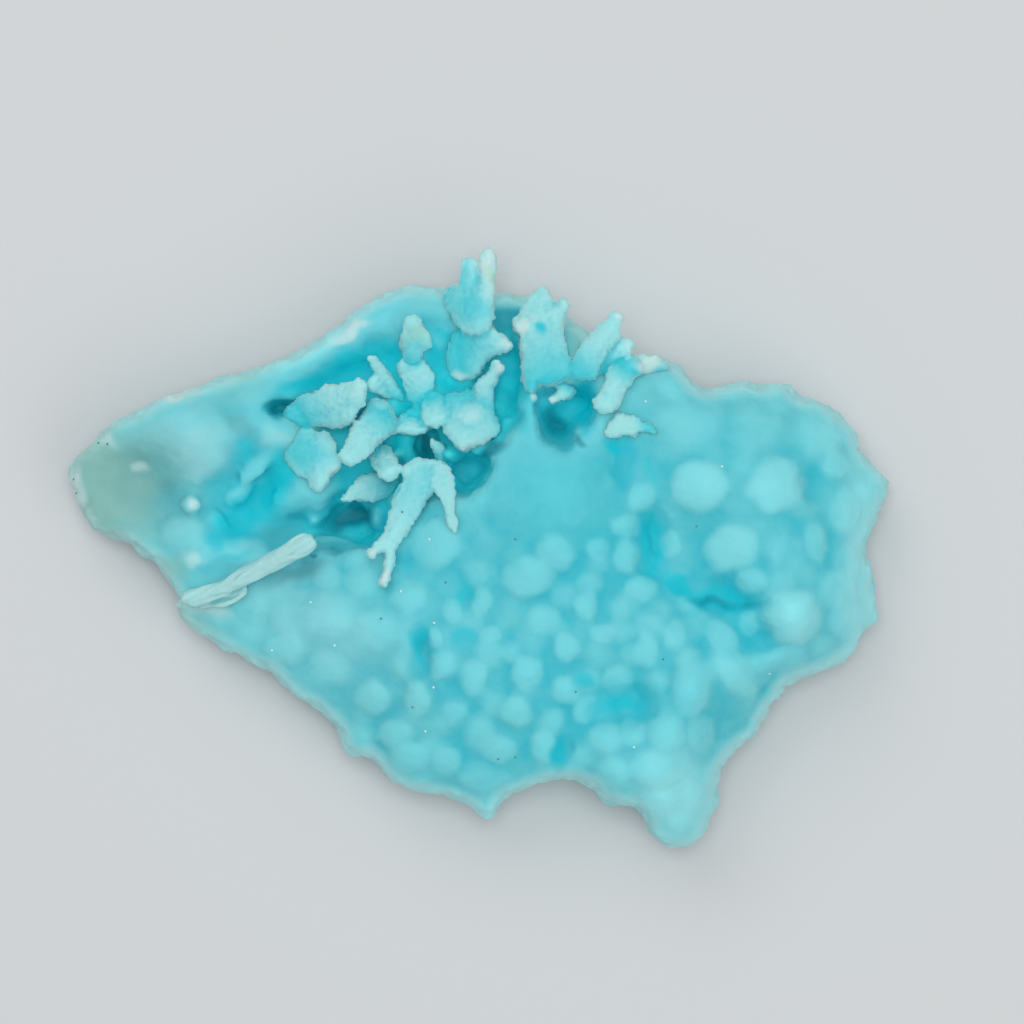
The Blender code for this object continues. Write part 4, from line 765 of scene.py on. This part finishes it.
# The fingers
# Crystals that grew up out of the hollows and along the top: stacks and sheaves of fine needles, knobbly and
# frosted, and split into points where they end. They are fused to the plate at their roots.
# Each limb has its foot and its tip as x, y, z, its thickness and its outline.
LIMBS = {
    "white_finger": ((1.6, 38, 22), (1.4, 50, 22.5), 3.2, (
        (0.2, 43), (0, 46.5), (0.1, 48.3), (0.5, 49.8), (1.4, 50.5), (2.3, 50.1), (2.9, 49), (2.9, 47.5),
        (2.6, 45.5), (2.5, 43), (2.3, 39), (1.8, 37), (1.1, 38), (0.6, 41),
    )),
    "twin_finger": ((-1.8, 41, 20), (-1.8, 49, 21.4), 3.2, (
        (-3.6, 43), (-3.4, 46.5), (-3.2, 48.2), (-2.6, 48.8), (-1.6, 49), (-0.8, 48.7), (-0.3, 47.6),
        (-0.2, 45.4), (0, 42), (-2, 40),
    )),
    "blade": ((-6.6, 41, 18.6), (0.4, 38.6, 22), 4.6, (
        (-5.4, 43.7), (-3.4, 44.4), (-1, 44.8), (1.4, 44.6), (2.4, 43), (2.3, 40), (1.9, 37.6), (1, 36),
        (-1, 35.6), (-2.6, 36.2), (-4, 37.6), (-5.3, 39.2), (-6, 41), (-5.9, 42.6),
    )),
    "right_finger": ((-3.4, 33.4, 17), (5, 34, 22), 4.2, (
        (-4.8, 36.4), (-2.8, 38.2), (0, 38.4), (1.8, 37.4), (3, 35.9), (5.1, 34.8), (5.6, 34), (5.2, 33.1),
        (4, 32.8), (2.6, 32.3), (1.2, 31.4), (0.2, 30), (-0.8, 28.8), (-2.2, 28.2), (-3.6, 27.8), (-4.6, 28.8),
        (-5.3, 30.2), (-5.6, 31.8), (-5.4, 33.8),
    )),
    "torn_sheet": ((0.8, 22, 18), (3.2, 31, 23), 2.6, (
        (2.5, 31.6), (3.3, 31.2), (3.5, 30.5), (4.4, 30.2), (3.6, 29.2), (2.8, 28), (2.1, 26.6), (2.3, 25.2),
        (2.6, 23), (2.9, 21.4), (3.7, 20.2), (3.6, 19), (2.8, 18.4), (1.6, 18.8), (0.4, 20), (-0.5, 22),
        (-0.6, 24), (-1, 26), (-0.6, 27.4), (0.6, 28.6), (1.6, 29.8), (2.1, 30.8),
    )),
    "hanging_mass": ((-3.2, 26, 17), (-0.6, 17.4, 20.8), 4.6, (
        (-5.6, 25.6), (-4, 26), (-2, 26.4), (0.5, 26), (2, 25.2), (2.5, 23), (2.8, 21.5), (3.6, 20),
        (3.4, 18.8), (2.2, 17.9), (1.5, 17.7), (1, 16.9), (0, 16.8), (-1.6, 16.4), (-3.2, 16), (-3.9, 16.4),
        (-4.6, 17.4), (-5.4, 18.4), (-6, 19.6), (-6.2, 21.5), (-6, 23.6),
    )),
    "pale_club": ((-12.8, 31.4, 18.5), (-10.4, 37.4, 21.6), 4, (
        (-11.9, 38.9), (-11, 39.1), (-10.2, 38.5), (-9.3, 37), (-8.5, 35.6), (-8.3, 34.6), (-8.9, 33.6),
        (-9.7, 33), (-9.9, 32), (-10.4, 31), (-11.6, 30.7), (-12.7, 31.4), (-13.3, 33), (-13.5, 35),
        (-13.1, 36.8), (-12.6, 38.2),
    )),
    "club_lobe": ((-10.6, 24, 15), (-11, 31, 17.6), 3.6, (
        (-13.8, 31.4), (-12, 32), (-10, 31.4), (-8.4, 30), (-7.8, 28.4), (-7.9, 26.4), (-8.8, 24.6),
        (-10.7, 22.9), (-12, 23.8), (-12.5, 26), (-13.3, 28), (-14, 29.8),
    )),
    "soft_knob": ((-1.2, 24.6, 19), (-1.2, 20, 20.4), 4.2, (
        (-3.8, 22), (-3, 23.7), (-1.2, 24.5), (0.6, 23.8), (1.4, 22), (0.6, 20.3), (-1.2, 19.5), (-3, 20.2),
    )),
    "thin_finger": ((-13.6, 25, 15), (-18.7, 31.8, 21), 2.6, (
        (-19.1, 32.1), (-18.2, 32.2), (-17.2, 31.3), (-16.2, 30.2), (-15.2, 28.8), (-14.3, 27.4), (-13.3, 26.2),
        (-12.8, 25), (-13.4, 24), (-14.6, 24.8), (-15.9, 26.6), (-17.1, 28.4), (-18.3, 30), (-19, 31.2),
    )),
    "side_finger": ((-14, 25, 14), (-18.4, 27.4, 18.4), 3, (
        (-18.9, 28), (-18, 28.8), (-16.6, 29), (-15.2, 28), (-13.6, 26.4), (-13, 25), (-13.8, 24.2),
        (-15.4, 24.8), (-17, 25.4), (-18.4, 26.2), (-19.1, 27),
    )),
    "paddle": ((-30, 21.4, 16), (-20.4, 27, 23.5), 4.6, (
        (-33.3, 22.2), (-32.6, 23.6), (-31.6, 24.4), (-31, 25.4), (-30, 25.7), (-28.6, 25.8), (-27.2, 26.5),
        (-25.8, 27.1), (-24, 27.1), (-22.8, 27.5), (-21.6, 27.7), (-20.6, 28.3), (-19.7, 27.8), (-19.1, 26.8),
        (-19.3, 25.4), (-19.6, 24.2), (-20.6, 23), (-21.4, 21.4), (-22.6, 20.4), (-24.6, 20), (-27, 20.3),
        (-29.6, 20.2), (-31.6, 20.4), (-32.8, 21),
    )),
    "big_finger": ((-16.6, 22.6, 19.5), (-22.4, 14.6, 25), 4.8, (
        (-18.9, 24.2), (-18.2, 24.7), (-16.8, 24.7), (-15.8, 24), (-14.8, 22.6), (-14.3, 21), (-14.7, 19.6),
        (-16, 18.4), (-17.4, 17), (-18.7, 15.4), (-20, 14.3), (-21.4, 13.5), (-22.6, 13.5), (-23.4, 14.2),
        (-23.7, 15.4), (-22.9, 17), (-22.2, 18.8), (-21.4, 20.4), (-20.2, 22), (-19.4, 23.2),
    )),
    "lower_finger": ((-17.6, 16.4, 16), (-15.6, 12.4, 22), 4.2, (
        (-18.6, 16.6), (-17, 17.1), (-15.6, 16.4), (-14.4, 15.4), (-13.7, 14), (-13.6, 12.6), (-14.4, 11.4),
        (-15.8, 11.1), (-17.2, 11.8), (-18, 13), (-18.6, 14.4), (-19, 15.6),
    )),
    "wedge": ((-15.4, 9.8, 15.5), (-23.4, 8, 19.5), 3, (
        (-24.1, 7.6), (-22.6, 7.5), (-20.6, 7.6), (-18.6, 7.4), (-16.6, 7.8), (-14.6, 8.4), (-13.6, 9.8),
        (-14, 11.2), (-15.6, 11.8), (-17.6, 12.3), (-19.6, 11.8), (-21, 11), (-22, 9.8), (-22.9, 8.6),
    )),
    "antler": ((-9.4, 12.4, 22), (-15.8, -6, 26.8), 4.2, (
        (-13.4, 12.6), (-12.6, 13.6), (-11.4, 14.5), (-9.8, 14.7), (-8.2, 14.3), (-7.4, 14.1), (-6.4, 14),
        (-5.6, 13.5), (-5.2, 12.4), (-6, 11), (-7.2, 9.6), (-8.4, 8.6), (-9.2, 7.4), (-9.9, 6), (-10.8, 4.4),
        (-11.6, 3), (-12.8, 1.4), (-13.7, 0.2), (-14.1, -1), (-14.4, -2.6), (-14.9, -4.6), (-15.4, -6.2),
        (-16, -7.3), (-16.9, -6.6), (-16.8, -5.6), (-16.2, -4.2), (-15.9, -2.8), (-15.8, -1.4), (-16.6, -1),
        (-17.3, -1.6), (-17.8, -2.5), (-18.5, -2.1), (-19.1, -2.1), (-18.9, -1), (-18.2, -0.1), (-17.4, 0.8),
        (-16.6, 1.8), (-15.9, 3), (-15.4, 4.6), (-15.1, 6.2), (-14.6, 8), (-13.9, 9.6), (-12.8, 10.8),
        (-13, 11.6),
    )),
    "antler_branch": ((-6.4, 13, 23), (-4.4, 2.4, 27), 2.4, (
        (-7.6, 13.6), (-6, 14), (-5, 13.2), (-4.4, 11.4), (-4.2, 9), (-3.9, 6.4), (-3.6, 4.2), (-3.7, 2.2),
        (-4.4, 1.6), (-5.1, 2.6), (-5.7, 4.6), (-6.3, 6.6), (-7, 8.2), (-7.8, 9.4), (-8.4, 11), (-8.4, 12.6),
    )),
    "thin_blade": ((-5, 15.4, 17), (-8, 18, 19), 2.4, (
        (-8.5, 18.6), (-7.6, 18.2), (-6.6, 17.4), (-5.6, 16.4), (-4.6, 16), (-3.9, 15), (-4.8, 14.4),
        (-6, 14.3), (-7.1, 14.6), (-7.8, 15.8), (-8.4, 17),
    )),
    "bowl_edge": ((-34.6, 18.6, 14.6), (-25.4, 12.4, 18.6), 5, (
        (-34.6, 20.4), (-32.4, 21), (-30, 20.4), (-28, 19.4), (-26.4, 19.2), (-25, 18.2), (-24.2, 17),
        (-24.4, 15.6), (-23.6, 14.4), (-24.2, 12.8), (-25.4, 12), (-25.8, 10.4), (-27.2, 9.2), (-28.8, 9.8),
        (-29.6, 11.4), (-31.2, 12), (-32.6, 13.8), (-34.4, 15), (-35.2, 17), (-36.2, 18.8),
    )),
    "oval_finger": ((-8.8, 25, 16), (-7.6, 21.4, 19), 3.6, (
        (-10, 22.4), (-9.8, 24.2), (-9, 25.6), (-7.8, 26.2), (-6.6, 25.6), (-5.8, 24.2), (-5.7, 22.4),
        (-6.2, 20.8), (-7.4, 19.8), (-8.8, 20), (-9.7, 21),
    )),
    "middle_mass": ((-11.6, 22, 15), (-12, 20, 17.4), 3.4, (
        (-15.4, 19), (-14, 21), (-12.6, 22.8), (-10.6, 23.4), (-9, 22), (-8.4, 20.4), (-9.2, 19), (-11, 18.6),
        (-13, 18.8),
    )),
    "spray": ((11.6, 28, 25.4), (10, 43, 21.5), 5, (
        (7.5, 40.4), (8.1, 41.9), (9, 43.1), (10.3, 43.2), (10.9, 44), (11.5, 43.2), (12.3, 42), (12.5, 41.3),
        (13.5, 41.3), (14.2, 41.9), (15, 41.4), (15.4, 40.5), (14.6, 39.6), (14.2, 38.6), (14, 36.6),
        (14.3, 34.6), (15, 32.6), (16.4, 30.4), (15.4, 28.4), (13.4, 27.4), (11.4, 26.8), (9.8, 26.8),
        (9.2, 25), (8.4, 25.2), (7.6, 27.4), (7.1, 29.6), (7.2, 31.8), (6.8, 33.8), (7, 35.4), (6.1, 36),
        (5.5, 36.9), (5.6, 38), (6.6, 38.8), (7.2, 39.6),
    )),
    "right_blade": ((17.6, 29, 26), (23.4, 38.6, 28), 3.8, (
        (16, 31.4), (16.8, 33), (17.8, 34.6), (18.6, 35.4), (19.6, 36.4), (20.8, 37.6), (21.8, 38.7),
        (22.8, 39.4), (23.7, 39.3), (24.3, 38.4), (24, 37.2), (23.7, 36), (23.7, 35.1), (22.8, 34.4),
        (22, 33.2), (21, 31.8), (20.3, 30.2), (20, 28.6), (18.6, 27.8), (16.4, 28), (15, 29.6),
    )),
    "second_blade": ((21, 30.4, 25), (25.4, 33.8, 26.6), 2.8, (
        (20.4, 31.2), (21.4, 32.8), (22.6, 34), (23.4, 34.5), (24.2, 34.9), (25, 34.6), (25.8, 34.5),
        (26, 33.8), (25.7, 33), (25.6, 32.2), (24.6, 31.6), (23, 31), (21.6, 30), (20.8, 28.4), (20.2, 28.8),
    )),
    "round_club": ((24.6, 29.8, 26), (21, 24, 28.6), 4.4, (
        (25.5, 32), (24.4, 31.6), (23, 30.8), (21.8, 29.6), (21.2, 28), (20.6, 26.6), (19.8, 25.4), (19.1, 24),
        (19.1, 23), (20, 22.3), (21.4, 22.2), (22.6, 22.6), (23.6, 23.8), (24.4, 25.2), (25, 26.6),
        (25.8, 27.6), (26.6, 28.6), (27.6, 29.4), (27, 31),
    )),
    "white_ridge": ((30, 29.4, 23), (27.6, 31, 24.4), 3, (
        (25.6, 32.1), (27.4, 32.1), (29, 32), (30, 32.3), (30.8, 31.6), (31.9, 30.4), (31.8, 29.4),
        (30.6, 28.8), (28.8, 28.6), (27.2, 28.8), (26, 29.8), (25.4, 31),
    )),
    "pink_ridge": ((28, 20.4, 27), (23, 19.2, 27), 2.2, (
        (20.4, 18.8), (21.4, 20.2), (22.6, 21.8), (23.8, 22.4), (24.8, 21.7), (26.2, 21.9), (27.4, 20.8),
        (29, 20.4), (30.6, 19), (29.2, 18.4), (27.6, 19.2), (26, 18.2), (24.4, 18.9), (22.6, 18),
    )),
    "hollow_lip": ((14.4, 27.6, 23.6), (11.6, 24.6, 24), 2.2, (
        (11.1, 24.9), (11.6, 25.3), (12.6, 25.6), (13.2, 26.4), (12.8, 27.8), (14.4, 28.2), (15.6, 27.2),
        (16.2, 26.2), (15.6, 25.2), (14.6, 24.8), (13.6, 24.6), (12.8, 24.1), (11.8, 24),
    )),
    "white_rod": ((-48, -8.8, 17.5), (-29, 0.4, 24.4), 3.4, (
        (-50.3, -8), (-47, -7.2), (-44, -6.2), (-41.4, -4.6), (-38.6, -3), (-36.4, -1.7), (-34.6, -0.6),
        (-32.8, 0.6), (-31, 1.6), (-29.8, 2), (-28.7, 1.8), (-28, 1), (-27.7, 0), (-28.2, -0.9), (-29.2, -1.7),
        (-30.8, -2.5), (-33, -3.5), (-35.4, -4.7), (-37.4, -5.7), (-39.4, -6.8), (-41.4, -7.8), (-43.6, -8.8),
        (-46, -9.8), (-47.6, -10.2), (-49.4, -10.4), (-50.8, -9.4),
    )),
    "short_rod": ((-47.4, -9.4, 16.4), (-40.4, -8, 18.2), 2.6, (
        (-49, -8.6), (-46, -8), (-43.6, -7.3), (-41.6, -6.8), (-39.9, -7), (-39.4, -8.1), (-40.8, -9.4),
        (-42.8, -10.3), (-45.2, -10.7), (-47.8, -10.8),
    )),
}
STANDING = ("white_rod", "short_rod", "antler", "antler_branch", "white_finger", "twin_finger")
RODS = ("white_rod", "short_rod")
LIMB_STEPS, LIMB_BLANK_VOXEL, FINGER_VOXEL, FINGER_SOFTENING = 3, 0.45, 0.31, 7
ROUND_SHARE, EDGE, FOOT_REACH, FOOT_LEVEL = 0.9, 0.45, 0.75, 8.0
FINGER_RELIEF, FINGER_STEEP = ((2.4, 0.12), (0.9, 0.08), (0.6, 0.09)), 4.0
FINGER_SPREAD, FINGER_RANGE = 1.2, 1.2
# Tints of the fingers, as rows like those of the stains; the bluer places are painted shade between the
# fingers.
FROSTED_TIPS = (
    (1.6, 48, 1.6, 3.4, 0, 1), (1.8, 44, 1, 3, 0, 0.5), (6.6, 37.4, 1.4, 1.4, 0, 1), (4.8, 34, 1.4, 1, 0, 0.6),
    (3.4, 30.4, 1, 1, 0, 0.8), (-0.4, 17.3, 3.8, 1, 14, 0.6), (-3.4, 28.8, 1.2, 1, 0, 0.7),
    (-18.2, -1.6, 1, 0.8, 0, 1), (-16.4, -5.6, 0.8, 1.8, -15, 1), (10.9, 43.4, 0.8, 1, 0, 0.5),
    (14.8, 41, 0.8, 0.8, 0, 0.5), (23.6, 38.6, 1.2, 1.2, 0, 0.8), (25.4, 33.8, 0.8, 1.2, 0, 0.6),
    (29, 30.8, 3.4, 1.8, 0, 0.9), (25, 20.4, 5, 2, -15, 0.2), (11.8, 24.8, 1, 0.8, 0, 0.9),
    (9, 25, 0.8, 0.8, 0, 1), (-1.2, 22, 2.4, 2.2, 0, 0.4), (-24.6, 12, 1, 1.6, 30, 0.5),
    (-20.4, 26.6, 1.6, 1.4, 0, 0.4), (-17.6, 4.6, 1.6, 2, 0, 0.5), (9, 38.4, 2.4, 1.2, 0, 0.4),
    (-17.2, 24.4, 1.8, 0.8, 0, 0.4),
)
SHADE_BLUED_PLACES = (
    (-1.6, 40, 4.6, 4.4, 0, 0.6), (-10.8, 34.4, 2.4, 4, 0, 0.45), (-11, 9.4, 3, 6, -30, 0.35),
    (-2, 46, 1.4, 3.4, 0, 0.5), (11, 32, 3.6, 5, 0, 0.3), (0, 32.6, 5, 3, 0, 0.4), (-30, 15.6, 5, 5, 0, 0.6),
    (10.4, 36.4, 1.2, 1.6, 0, 0.9), (12, 28.6, 3, 1.6, 0, 0.4),
)
YELLOWED = ((-10.4, 36, 2.4, 2.2, 0, 0.5), (1.9, 45.6, 0.9, 1.8, 0, 0.5), (-18, -1.8, 0.9, 0.8, 0, 0.4))


def limb(name):
    """A limb of its outline, rounded to its edges, that rises from its foot to its tip.

    One that doesn't stand clear also reaches down from its foot into the floor of the hollow.
    """
    foot, tip, thickness, outline = LIMBS[name]
    rim = smooth_loop(outline, LIMB_STEPS)
    start, run = np.array(foot[:2]), np.subtract(tip[:2], foot[:2])

    def levels(at):
        along = np.clip((at - start) @ run / (run @ run), 0, 1)
        middle = foot[2] + (tip[2] - foot[2]) * along
        swell = thickness / 2 * rounding(rim_distance(at, rim) + EDGE, ROUND_SHARE * thickness)
        sunk = 0 if name in STANDING else (middle - FOOT_LEVEL) * np.clip(1 - along / FOOT_REACH, 0, 1)
        return middle + swell, middle - swell - sunk

    return swelled(blank(rim, LIMB_BLANK_VOXEL), levels)


def grown_limbs(names, voxel):
    limbs = bmesh.new()
    for name in names:
        limbs.from_mesh(limb(name))
    return grown_together(finished_bmesh(limbs, "limbs"), voxel, FINGER_SOFTENING)


def from_root(points, names):
    """From 0 at the root of a limb to 1 at its tip, where two lie over each other for the nearer one."""
    share, gap = np.ones(len(points)), np.full(len(points), np.inf)
    for name in names:
        foot, tip, _, outline = LIMBS[name]
        run = np.subtract(tip[:2], foot[:2])
        along = np.clip((points[:, :2] - foot[:2]) @ run / (run @ run), 0, 1)
        apart = np.abs(points[:, 2] - foot[2] - (tip[2] - foot[2]) * along)
        nearer = (rim_distance(points[:, :2], outline) < EDGE) | inside_rim(points[:, :2], outline)
        nearer &= apart < gap
        share[nearer], gap[nearer] = along[nearer], apart[nearer]
    return share


finger_names = [name for name in LIMBS if name not in RODS]
fingers_mesh = grown_limbs(finger_names, FINGER_VOXEL)
points = mesh_points(fingers_mesh)
at = points[:, :2]
# From root to tip, which the material lays from a stronger cyan, as painted shade at the roots, to pale.
note(fingers_mesh, "from_root", from_root(points, [name for name in finger_names if name not in STANDING]))
roughened(fingers_mesh, FINGER_RELIEF, FINGER_STEEP)
note(fingers_mesh, "crest", crests(fingers_mesh, FINGER_VOXEL, FINGER_SPREAD, FINGER_RANGE))
# Depth in the hollows, which the material lays a stronger cyan as painted shade.
note(fingers_mesh, "depth", (crust_level(at) - points[:, 2]) / HOLLOW_DEPTH)
# The steepness of the fingers' sides, which the material lays pale as painted light.
note(fingers_mesh, "wall", 1 - mesh_normals(fingers_mesh)[:, 2])
note(fingers_mesh, "white", stains_and_painted_light(at, FROSTED_TIPS))
note(fingers_mesh, "yellow", stains_and_painted_light(at, YELLOWED))
# The bluer places, painted shade between the fingers.
note(fingers_mesh, "painted_shade_blue", stains_and_painted_light(at, SHADE_BLUED_PLACES))

# Needle aragonite: the same mineral in looser needles, which scatter more light, so it is paler and more matt.
ROOT_CYAN, FINGER_BLUE, FINGER_PALE = srgb("#2CCEDA"), srgb("#74DAE2"), srgb("#A6E6E8")
# A pale colour laid on the fingers' steep sides as painted light, and the yellow of some tips.
WALL_PAINTED_LIGHT, YELLOW = srgb("#CCF2F4"), srgb("#B4D8BC")
needles = new_material("needle_aragonite")
# Painted light and shade: the crests of the fingers are laid pale, and their roots deep in the hollows a
# stronger cyan.
colour = laid_over(needles, FINGER_BLUE, FINGER_PALE, "crest", 0.3, 0.7)
colour = laid_over(needles, ROOT_CYAN, colour, "from_root", -0.2, 0.55)
colour = layered(needles, colour, (
    # Painted shade: the bluer places between the fingers.
    (ROOT_CYAN, "painted_shade_blue", 0.0, 1.0),
    # Painted light: the steep sides are laid pale, against the shade they fall in.
    (WALL_PAINTED_LIGHT, "wall", 0.3, 1.0, 0.85),
    # Painted shade: a stronger cyan on the parts of the fingers that lie deep in the hollows.
    (HOLLOW_CYAN, "depth", 0.25, 0.7),
    (WHITE, "white", 0.0, 1.0, 0.9),
    (YELLOW, "yellow", 0.0, 1.0),
))
frosted(needles, colour, grain=0.5, depth=0.15, milkiness=2.4)
fingers = placed("fingers", fingers_mesh, needles)
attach(fingers, "root")
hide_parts("aragonite")

# The white rods
# Two long crystals that lie across the lower left of the hollow, whiter and smoother than the rest, with fine
# ribs along them.
ROD_VOXEL, ROD_TURN, RIB_STRETCH, RIBS = 0.25, 28.0, 8.0, ((1.0, 0.36), (0.5, 0.2))
ROD_SPREAD, ROD_RANGE = 0.9, 0.6
rods_mesh = grown_limbs(RODS, ROD_VOXEL)
roughened(rods_mesh, RIBS, turn=ROD_TURN, stretch=RIB_STRETCH)
note(rods_mesh, "crest", crests(rods_mesh, ROD_VOXEL, ROD_SPREAD, ROD_RANGE))

# Prismatic aragonite: long clear crystals with a milky heart, nearly white.
prisms = new_material("prismatic_aragonite")
RIB_GROOVE_SHADE, RIB_WHITE = srgb("#84CCD0"), srgb("#B2E0E0")
# Painted shade: the grooves between the ribs are laid a darker cyan, the crests nearly white.
colour = laid_over(prisms, RIB_GROOVE_SHADE, RIB_WHITE, "crest", 0.25, 0.6)
frosted(prisms, colour, grain=0.5, depth=0.08, milkiness=1.8)
rods = placed("white_rods", rods_mesh, prisms)
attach(rods, "root")
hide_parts("aragonite")

# The grains
# White specks where crystal ends catch the light, as painted glints, and dark specks of the host rock, seated
# in the crust.
GLINT_GRAINS = (
    (-8.5, 1), (-13.3, -7.8), (-7.7, -13.1), (-7.8, -24), (-9.2, -31.5), (26, -34), (-35.4, -17.9),
    (40.8, 13.3), (49.1, -21.8), (28, 24.3), (-28.7, -9.7), (-24.6, -17),
)
DARK_GRAINS = (
    (6, 1), (-5.8, -6.3), (-16.7, -12.4), (-11.4, -27.4), (3.1, -36.2), (6, -35.9), (16.2, -24.7),
    (30.9, -19.2), (36.6, 3.2), (-13.1, 5.6), (-69.6, 11.2), (-69.2, 8.8), (-63.6, 17.2), (-65.2, 17.4),
)
GRAIN_RADIUS, ABOVE_ALL = 0.22, 60
surface = bmesh.new()
surface.from_mesh(plate_mesh)
surface.from_mesh(fingers_mesh)
seen_from_front = BVHTree.FromBMesh(surface)
surface.free()


def seated_grains(name, places, colour, roughness):
    """Small angular grains, each half sunk where the surface lies under its place."""
    shape = bmesh.new()
    for x, y in places:
        above = to_row @ (Vector((x, y, ABOVE_ALL)) * MM)
        spot = seen_from_front.ray_cast(above, (0, 0, -1))[0]
        stand = Matrix.Translation(spot)
        bmesh.ops.create_icosphere(shape, subdivisions=1, radius=GRAIN_RADIUS * MM, matrix=stand)
    grains = mesh_object(name, finished_bmesh(shape, name))
    material = new_material(name + "_crystal")
    shader = material.node_tree.nodes["Principled BSDF"]
    shader.inputs["Base Color"].default_value = srgb(colour)
    shader.inputs["Roughness"].default_value = roughness
    grains.data.materials.append(material)
    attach(grains, "root")


# Painted glints: white specks on the crust.
seated_grains("painted_glint_grains", GLINT_GRAINS, "#F2FFFF", roughness=0.2)
seated_grains("dark_grains", DARK_GRAINS, "#4E9498", roughness=0.7)

# The table and the light
# A plain pale table and soft studio light, with the camera straight above, as the front is seen.
FLOOR_SIZE, FLOOR_GAP = 4.0, 0.1
floor_shape = bmesh.new()
bmesh.ops.create_grid(floor_shape, x_segments=1, y_segments=1, size=FLOOR_SIZE / 2)
bmesh.ops.translate(floor_shape, verts=floor_shape.verts, vec=(0, 0, -FLOOR_GAP * MM))
floor = mesh_object("table", finished_bmesh(floor_shape, "table"))
paint = new_material("pale_table")
paint.node_tree.nodes["Principled BSDF"].inputs["Base Color"].default_value = srgb("#D8DADB")
paint.node_tree.nodes["Principled BSDF"].inputs["Roughness"].default_value = 0.8
floor.data.materials.append(paint)

world = bpy.data.worlds.new("studio")
world.use_nodes = True
world.node_tree.nodes["Background"].inputs["Color"].default_value = srgb("#EEF2F4")
world.node_tree.nodes["Background"].inputs["Strength"].default_value = 0.45
bpy.context.scene.world = world
bpy.context.scene.view_settings.view_transform = "Standard"
LIGHTS_AIM = (0.0, 0.0, 0.02)


def softbox(name, place, size, power):
    lamp = bpy.data.objects.new(name, bpy.data.lights.new(name, "AREA"))
    lamp.data.size = size
    lamp.data.energy = power
    lamp.location = place
    lamp.rotation_euler = (Vector(LIGHTS_AIM) - Vector(place)).to_track_quat("-Z", "Y").to_euler()
    bpy.context.scene.collection.objects.link(lamp)


softbox("overhead_light", (0.0, 0.12, 1.5), size=0.5, power=6.6)
softbox("key_light", (-0.35, 0.65, 1.0), size=0.7, power=2.8)
softbox("fill_light", (0.6, -0.5, 1.0), size=1.0, power=2.8)

CAMERA_LENS, SENSOR_WIDTH = 200.0, 36.0
# The frame's pixels, their size on the specimen, and the pixel over the grid's zero.
FRAME_PIXELS, PIXEL, ZERO_ACROSS, ZERO_DOWN = 1024, 0.17, 480, 545
FRAME_MIDDLE = ((FRAME_PIXELS / 2 - ZERO_ACROSS) * PIXEL, (ZERO_DOWN - FRAME_PIXELS / 2) * PIXEL)
FOCUS_LEVEL = 20.0
height = FRAME_PIXELS * PIXEL * CAMERA_LENS / SENSOR_WIDTH
camera = bpy.data.objects.new("camera", bpy.data.cameras.new("camera"))
camera.data.lens = CAMERA_LENS
camera.data.sensor_width = SENSOR_WIDTH
camera.location = to_row @ (Vector((*FRAME_MIDDLE, FOCUS_LEVEL + height)) * MM)
bpy.context.scene.collection.objects.link(camera)
bpy.context.scene.camera = camera
